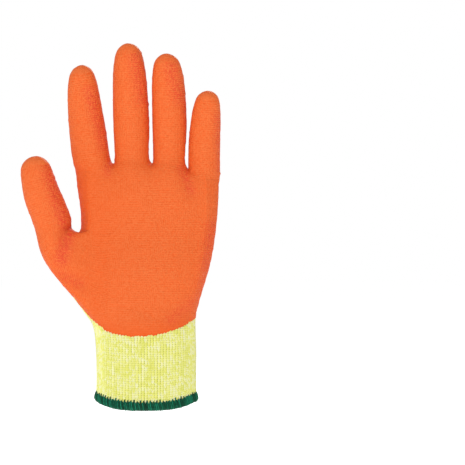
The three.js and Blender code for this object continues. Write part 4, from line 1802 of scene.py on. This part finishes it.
@dataclass
class Coat:
    """The latex: a skin over the surface, thin and toothed at its edge, crinkled where the hand folds.

    It swells from its edge to its full thickness over the shoulder. The folds in creases are wider than they
    are tall. A cut through a small face stays this share of its side away from the corners. Nubs are dried
    drops on the parts of the digits that face sideways.
    """

    surface: KnitSurface
    inner: float = 0.05 * MM
    edge: float = 0.3 * MM
    full: float = 0.95 * MM
    shoulder: float = 4 * MM
    edge_fade: float = 5 * MM
    ridge: float = 0.05 * MM
    crinkle: float = 0.14 * MM
    crinkle_grain: float = 3.4 * MM
    crease: float = 0.45 * MM
    fold_grain: float = 4.2 * MM
    fold_breadth: float = 1.6
    least_cut: float = 0.08
    nub_count: int = 90
    nub_height: float = 0.45 * MM
    nub_radius: float = 1 * MM
    nub_least: float = 0.4
    sideways: float = 0.5
    seed: int = 5

    def _crinkles_and_shade(self) -> Array:
        """How much each point is crinkled, which is also how much it is painted redder as shade, from 0 to 1.

        Returns:
            One share for each point.
        """
        surface = self.surface
        amount = np.zeros(len(surface.points))
        for stroke in CRINKLED_AND_SHADED:
            amount = np.maximum(amount, stroke.depth * stroke_share(surface.points, stroke, surface.sizes))
        return amount

    def _heights(self, depths: Array, creases: Array) -> Array:
        """How far the outside of the latex lies from the surface at each point.

        Args:
            depths: how far each point lies inside the latex.
            creases: how much it is creased.

        Returns:
            One height for each point.
        """
        surface = self.surface
        share = np.clip(depths / self.shoulder, 0, 1)
        thickness = self.edge + (self.full - self.edge) * share * share * (3 - 2 * share)
        ridges = np.cos(2 * math.pi * surface.at_points(surface.wales))
        crinkles = roughness_at(surface.points, self.crinkle_grain, octaves=3)
        folds = roughness_at(surface.points * np.array([1, 1, self.fold_breadth]), self.fold_grain)
        relief = self.ridge * ridges + self.crinkle * crinkles + self.crease * creases * folds
        return thickness + relief * share + self._nubs() * share

    def _clipped(
        self, depths: Array, quads: Array, marks: Array,
    ) -> tuple[Array, list[list[int]], list[Array]]:
        """Cuts faces off where the depth passes zero.

        Args:
            depths: how far each point of the surface lies inside the latex.
            quads: the faces that the edge of the latex crosses.
            marks: the wale and course at each of their corners.

        Returns:
            Pairs of points and the share between them for each new point, the faces cut, and their marks.
        """
        crossings: dict[tuple[int, int], int] = {}
        made: list[tuple[int, int, float]] = []
        faces, face_marks = [], []
        for quad, corner_marks in zip(quads.tolist(), marks):
            mark_of = dict(zip(quad, corner_marks))
            for triangle in (quad[:3], [quad[0], *quad[2:]]):
                outline = []
                for a, b in zip(triangle, triangle[1:] + triangle[:1]):
                    if depths[a] > 0:
                        outline.append(a)
                        face_marks.append(mark_of[a])
                    if (depths[a] > 0) != (depths[b] > 0):
                        low, high = min(a, b), max(a, b)
                        share = depths[low] / (depths[low] - depths[high])
                        share = float(np.clip(share, self.least_cut, 1 - self.least_cut))
                        if (low, high) not in crossings:
                            crossings[low, high] = len(self.surface.points) + len(made)
                            made.append((low, high, share))
                        outline.append(crossings[low, high])
                        face_marks.append(mark_of[low] * (1 - share) + mark_of[high] * share)
                if outline:
                    faces.append(outline)
        return np.array(made), faces, face_marks

    def _lining(self, whole: Array) -> tuple[list[list[int]], Array]:
        """Joins whole faces four by four for the inside of the coat, and keeps the points of cut faces.

        Args:
            whole: which faces of the surface lie wholly inside the latex.

        Returns:
            The joined faces, and which whole faces aren't part of one.
        """
        half = STEPS // 2
        joined = whole.reshape(-1, half, 2, half, 2).all(axis=(2, 4))
        face, row, column = (2 * k for k in np.nonzero(joined))
        face //= 2
        ring = [(0, 0), (0, 1), (0, 2), (1, 2), (2, 2), (2, 1), (2, 0), (1, 0)]
        outlines = np.stack([self.surface.grid[face, row + v, column + u] for v, u in ring], axis=1)
        shared = np.bincount(outlines[:, 1::2].ravel(), minlength=len(self.surface.points)) > 1
        faces = [[p for k, p in enumerate(o) if k % 2 == 0 or not shared[p]] for o in outlines.tolist()]
        return faces, whole & ~joined.repeat(2, axis=1).repeat(2, axis=2).ravel()

    def _nubs(self) -> Array:
        """The height of small drops of latex that dried on the sides of the fingers and the thumb.

        Returns:
            One height for each point.
        """
        surface = self.surface
        generator = np.random.default_rng(self.seed)
        digits = np.unique(surface.grid[surface.sleeve_of > 0])
        sides = digits[np.abs(surface.normals[digits, 1]) < self.sideways]
        heights = np.zeros(len(surface.points))
        for centre in generator.choice(sides, self.nub_count, replace=False):
            distance = np.linalg.norm(surface.points - surface.points[centre], axis=1)
            height = self.nub_height * generator.uniform(self.nub_least, 1)
            heights += height * np.exp(-((distance / self.nub_radius) ** 2))
        return heights

    def build(self, depths: Array) -> None:
        """Makes the coat and hands it over.

        Args:
            depths: how far each point of the surface lies inside the latex.
        """
        surface = self.surface
        quads, marks = surface.patches(1)
        inside = depths[quads] > 0
        whole = inside.all(axis=1)
        crossed = inside.any(axis=1) & ~whole
        made, cut, cut_marks = self._clipped(depths, quads[crossed], marks[crossed])
        first, second = made[:, 0].astype(int), made[:, 1].astype(int)
        share = made[:, 2]

        def extended(values: Array) -> Array:
            """The values with those of the new points after them."""
            mixed = values[first].T * (1 - share) + values[second].T * share
            return np.concatenate([values, mixed.T])

        creases = self._crinkles_and_shade()
        heights = extended(self._heights(depths, creases))
        heights[len(surface.points):] = self.edge
        points = extended(surface.points)
        normals = unit(extended(surface.normals))
        outside = quads[whole].tolist() + cut
        lining, single = self._lining(whole)
        lining += quads[single].tolist() + cut
        count = len(points)
        directed = {(o[k], o[(k + 1) % len(o)]) for o in outside for k in range(len(o))}
        sides = [[b, a, a + count, b + count] for a, b in directed if (b, a) not in directed]
        faces = outside + [[p + count for p in reversed(o)] for o in lining] + sorted(sides)
        both = np.concatenate([points + normals * heights[:, None], points + normals * self.inner])
        used = np.unique(np.concatenate([np.array(o) for o in faces]))
        number = np.zeros(len(both), int)
        number[used] = np.arange(len(used))
        faces = [[int(number[p]) for p in outline] for outline in faces]
        piece = make_object("latex_coat", both[used], faces, ORANGE_LATEX.build())
        give_marks(piece, np.concatenate([marks[whole].reshape(-1, 2), np.array(cut_marks)]))
        # The crease share also paints the latex redder there, as painted shade.
        give_values(piece, "crease", np.tile(extended(creases), 2)[used])
        near_edge = np.exp(-extended(np.maximum(depths, 0)) / self.edge_fade)
        give_values(piece, "edge", np.tile(near_edge, 2)[used])
        hand_over(piece, ["latex_coating"])


@dataclass
class Hem:
    """The overlocked edge of the cuff: a band over the rim, wound with thread, with small stitches above.

    The band's slot goes down to its lip below the rim's line, and reaches up on both sides of the knit. The
    thread lies its lift clear of what is under it.
    """

    surface: KnitSurface
    band_wall: float = 0.45 * MM
    reach: float = 3.6 * MM
    lip: float = 0.1 * MM
    arc_sides: int = 8
    thread_lift: float = 0.1 * MM
    thread_relief: float = 1 * MM
    winding_pitch: float = 1.25 * MM
    winding_radius: float = 0.5 * MM
    winding_sides: int = 6
    winding_steps: int = 5
    winding_lengths: tuple[float, float] = (0.94, 1.1)
    tooth_pitch: float = 2.2 * MM
    tooth_height: float = 2 * MM
    tooth_radius: float = 0.3 * MM
    tooth_sides: int = 5
    tooth_steps: int = 3
    tooth_lengths: tuple[float, float] = (0.6, 1.3)
    seed: int = 11

    @property
    def slot(self) -> float:
        """How far the inner face of the band lies from the middle of the knit's wall."""
        sizes = self.surface.sizes
        return sizes.knit_wall / 2 + sizes.overlock_clearance / 2

    def _rim(self) -> tuple[Array, Array, Array]:
        """The middle of the wall along the rim, its outward and its upward directions.

        Returns:
            Places, outward directions and upward directions, one row for each.
        """
        nodes, surface = self.surface.hand_nodes, self.surface
        rim, above = nodes[0, :-1], nodes[2, :-1]
        out = surface.normals[rim]
        up = surface.points[above] - surface.points[rim]
        up = unit(up - out * (up * out).sum(axis=1, keepdims=True))
        return surface.points[rim] - out * surface.sizes.knit_wall / 2, out, up

    def _spaced(self, pitch: float) -> tuple[Array, Array, Array]:
        """Places round the rim at about this distance, with their outward and upward directions.

        Args:
            pitch: the distance.

        Returns:
            Places, outward directions and upward directions, one row for each.
        """
        middle, out, up = self._rim()
        loop = np.concatenate([middle, middle[:1]])
        walk = np.concatenate([[0], np.cumsum(np.linalg.norm(np.diff(loop, axis=0), axis=1))])
        count = round(walk[-1] / pitch)
        at = np.arange(count) * walk[-1] / count

        def sampled(values: Array) -> Array:
            """The directions or places at the spaced ones."""
            closed = np.concatenate([values, values[:1]])
            return np.stack([np.interp(at, walk, closed[:, k]) for k in range(3)], axis=1)

        return sampled(middle), unit(sampled(out)), unit(sampled(up))

    def band(self, thread: bpy.types.Material) -> bpy.types.Object:
        """Makes the band under the thread, a channel swept round the rim.

        Args:
            thread: its material.

        Returns:
            The piece.
        """
        middle, out, up = self._rim()
        slot, radius = self.slot, self.slot + self.band_wall
        angles = [-math.pi * k / self.arc_sides for k in range(self.arc_sides + 1)]
        outline = [(slot, self.reach), (radius, self.reach)]
        outline += [(radius * math.cos(angle), radius * math.sin(angle)) for angle in angles]
        outline += [(-radius, self.reach), (-slot, self.reach), (-slot, -self.lip), (slot, -self.lip)]
        rings = [middle + out * across + up * rise for across, rise in outline]
        points = np.stack(rings, axis=1).reshape(-1, 3)
        count, around = len(middle), len(outline)
        faces = []
        for i in range(count):
            for k in range(around):
                here, there, after = i * around, (i + 1) % count * around, (k + 1) % around
                faces.append([here + k, here + after, there + after, there + k])
        piece = make_object("overlock_band", points, faces, thread)
        give_values(piece, "tone", np.zeros(len(points)))
        shell = bmesh.new()
        shell.from_mesh(piece.data)
        bmesh.ops.recalc_face_normals(shell, faces=shell.faces)
        shell.to_mesh(piece.data)
        shell.free()
        return piece

    def _stretches(self, generator: np.random.Generator, lengths: tuple[float, float], count: int) -> Array:
        """Scales that make each bend of thread a little longer or shorter."""
        ones = np.ones(count)
        return np.stack([ones, generator.uniform(*lengths, count), ones], axis=1)

    def windings(self, thread: bpy.types.Material, generator: np.random.Generator) -> bpy.types.Object:
        """Makes the thread wound over the edge.

        Args:
            thread: its material.
            generator: the source of its uneven lengths.

        Returns:
            The piece.
        """
        middle, out, up = self._spaced(self.winding_pitch)
        turns = turned(out, up, np.cross(out, up))
        stretch = self._stretches(generator, self.winding_lengths, len(middle))
        return YarnTree("winding", WINDING, thread).grown("overlock_thread", middle, turns, stretch, {
            "Width": self.slot + self.band_wall + self.thread_lift,
            "Height": self.reach,
            "Depth": self.thread_relief,
            "Yarn radius": self.winding_radius,
            "Yarn sides": self.winding_sides,
            "Bend steps": self.winding_steps,
            "Seed": self.seed,
        })

    def teeth(self, thread: bpy.types.Material, generator: np.random.Generator) -> bpy.types.Object:
        """Makes the small stitches that reach up into the cuff.

        Args:
            thread: their material.
            generator: the source of their uneven lengths.

        Returns:
            The piece.
        """
        middle, out, up = self._spaced(self.tooth_pitch)
        places = middle + out * (self.surface.sizes.knit_wall / 2 + self.thread_lift) + up * self.reach
        turns = turned(np.cross(up, out), up, out)
        stretch = self._stretches(generator, self.tooth_lengths, len(middle))
        return YarnTree("tooth", TOOTH_LEGS, thread).grown("overlock_teeth", places, turns, stretch, {
            "Width": self.tooth_pitch,
            "Height": self.tooth_height,
            "Depth": self.thread_relief,
            "Yarn radius": self.tooth_radius,
            "Yarn sides": self.tooth_sides,
            "Bend steps": self.tooth_steps,
            "Seed": self.seed,
        })

    def build(self) -> None:
        """Makes the hem and hands it over."""
        thread = GREEN_THREAD.build()
        generator = np.random.default_rng(self.seed)
        for piece in (self.band(thread), self.windings(thread, generator), self.teeth(thread, generator)):
            hand_over(piece, ["cuff_overlock"])


@dataclass(frozen=True)
class Lamp:
    """A round soft lamp: where it hangs, how wide it is and its power in watts."""

    name: str
    place: tuple[float, float, float]
    size: float
    power: float


LAMPS = (
    Lamp("key_lamp", place=(-0.25, -1.25, 0.8), size=0.5, power=6.6),
    Lamp("back_lamp", place=(0.25, 1.25, 0.8), size=0.5, power=6.6),
)


@dataclass
class Studio:
    """A pale floor, soft light and a camera at the photograph's angle.

    The lamps point at the aim. The room's light is the share of white that the glove gets from all round,
    while the camera sees the room and the floor as white.
    """

    distance: float = 1.1
    camera_side: float = 58.8 * MM
    camera_height: float = 121 * MM
    glove_front: float = -15 * MM
    view_width: float = 316.2 * MM
    sensor: float = 36
    floor_height: float = -100 * MM
    floor_size: float = 12
    room_light: float = 0.52
    aim: tuple[float, float, float] = (-0.02, 0, 0.12)
    sight: float = 100

    def floor(self) -> None:
        """Lays the floor."""
        half = self.floor_size / 2
        corners = [(-half, -half), (half, -half), (half, half), (-half, half)]
        points = np.array([(x, y, self.floor_height) for x, y in corners])
        shader = Shader("pale_floor")
        shader.dress(WHITE, roughness=1, specular=0)
        shader.put(shader.shader.inputs["Emission Color"], WHITE)
        shader.put(shader.shader.inputs["Emission Strength"], 1 - self.room_light)
        piece = make_object("floor", points, [[0, 1, 2, 3]], shader.material)
        piece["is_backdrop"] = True

    def lights(self) -> None:
        """Hangs two large soft lamps and fills the room with white light."""
        world = bpy.data.worlds.new("studio")
        bpy.context.scene.world = world
        world.use_nodes = True
        room = NodeTree(world.node_tree)
        background = room.tree.nodes["Background"]
        seen = room.add("ShaderNodeLightPath").outputs["Is Camera Ray"]
        inputs = {0: seen, 1: 1 - self.room_light, 2: self.room_light}
        strength = room.add("ShaderNodeMath", inputs, operation="MULTIPLY_ADD")
        room.put(background.inputs["Color"], WHITE)
        room.put(background.inputs["Strength"], strength.outputs[0])
        for lamp in LAMPS:
            light = bpy.data.lights.new(lamp.name, "AREA")
            light.shape = "DISK"
            light.size = lamp.size
            light.energy = lamp.power
            holder = bpy.data.objects.new(lamp.name, light)
            holder.location = lamp.place
            towards = Vector(self.aim) - Vector(lamp.place)
            holder.rotation_euler = towards.to_track_quat("-Z", "Y").to_euler()
            bpy.context.scene.collection.objects.link(holder)

    def camera(self) -> None:
        """Sets up the camera, level and square to the palm."""
        camera = bpy.data.cameras.new("camera")
        camera.sensor_width = self.sensor
        camera.lens = self.sensor * self.distance / self.view_width
        camera.clip_end = self.sight
        holder = bpy.data.objects.new("camera", camera)
        holder.location = (self.camera_side, self.glove_front - self.distance, self.camera_height)
        holder.rotation_euler = (math.pi / 2, 0, 0)
        bpy.context.scene.collection.objects.link(holder)
        bpy.context.scene.camera = holder
        bpy.context.scene.view_settings.view_transform = "Standard"

    def build(self) -> None:
        """Makes the studio."""
        self.floor()
        self.lights()
        self.camera()


def main() -> None:
    """Builds the glove and its studio, and writes how large both models are."""
    logging.basicConfig(level=logging.INFO, format="%(name)s %(message)s")
    model_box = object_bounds()
    surface = KnitSurface(GloveSizes())
    depths = DipLine(surface).depths()
    Liner(surface).build(depths)
    Coat(surface).build(depths)
    Hem(surface).build()
    Studio().build()
    boxes = {"model": model_box, "visual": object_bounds()}
    for name, box in boxes.items():
        log.info("%s box %s to %s", name, *(tuple(round(v / MM, 1) for v in corner) for corner in box))


if __name__ == "__main__":
    main()
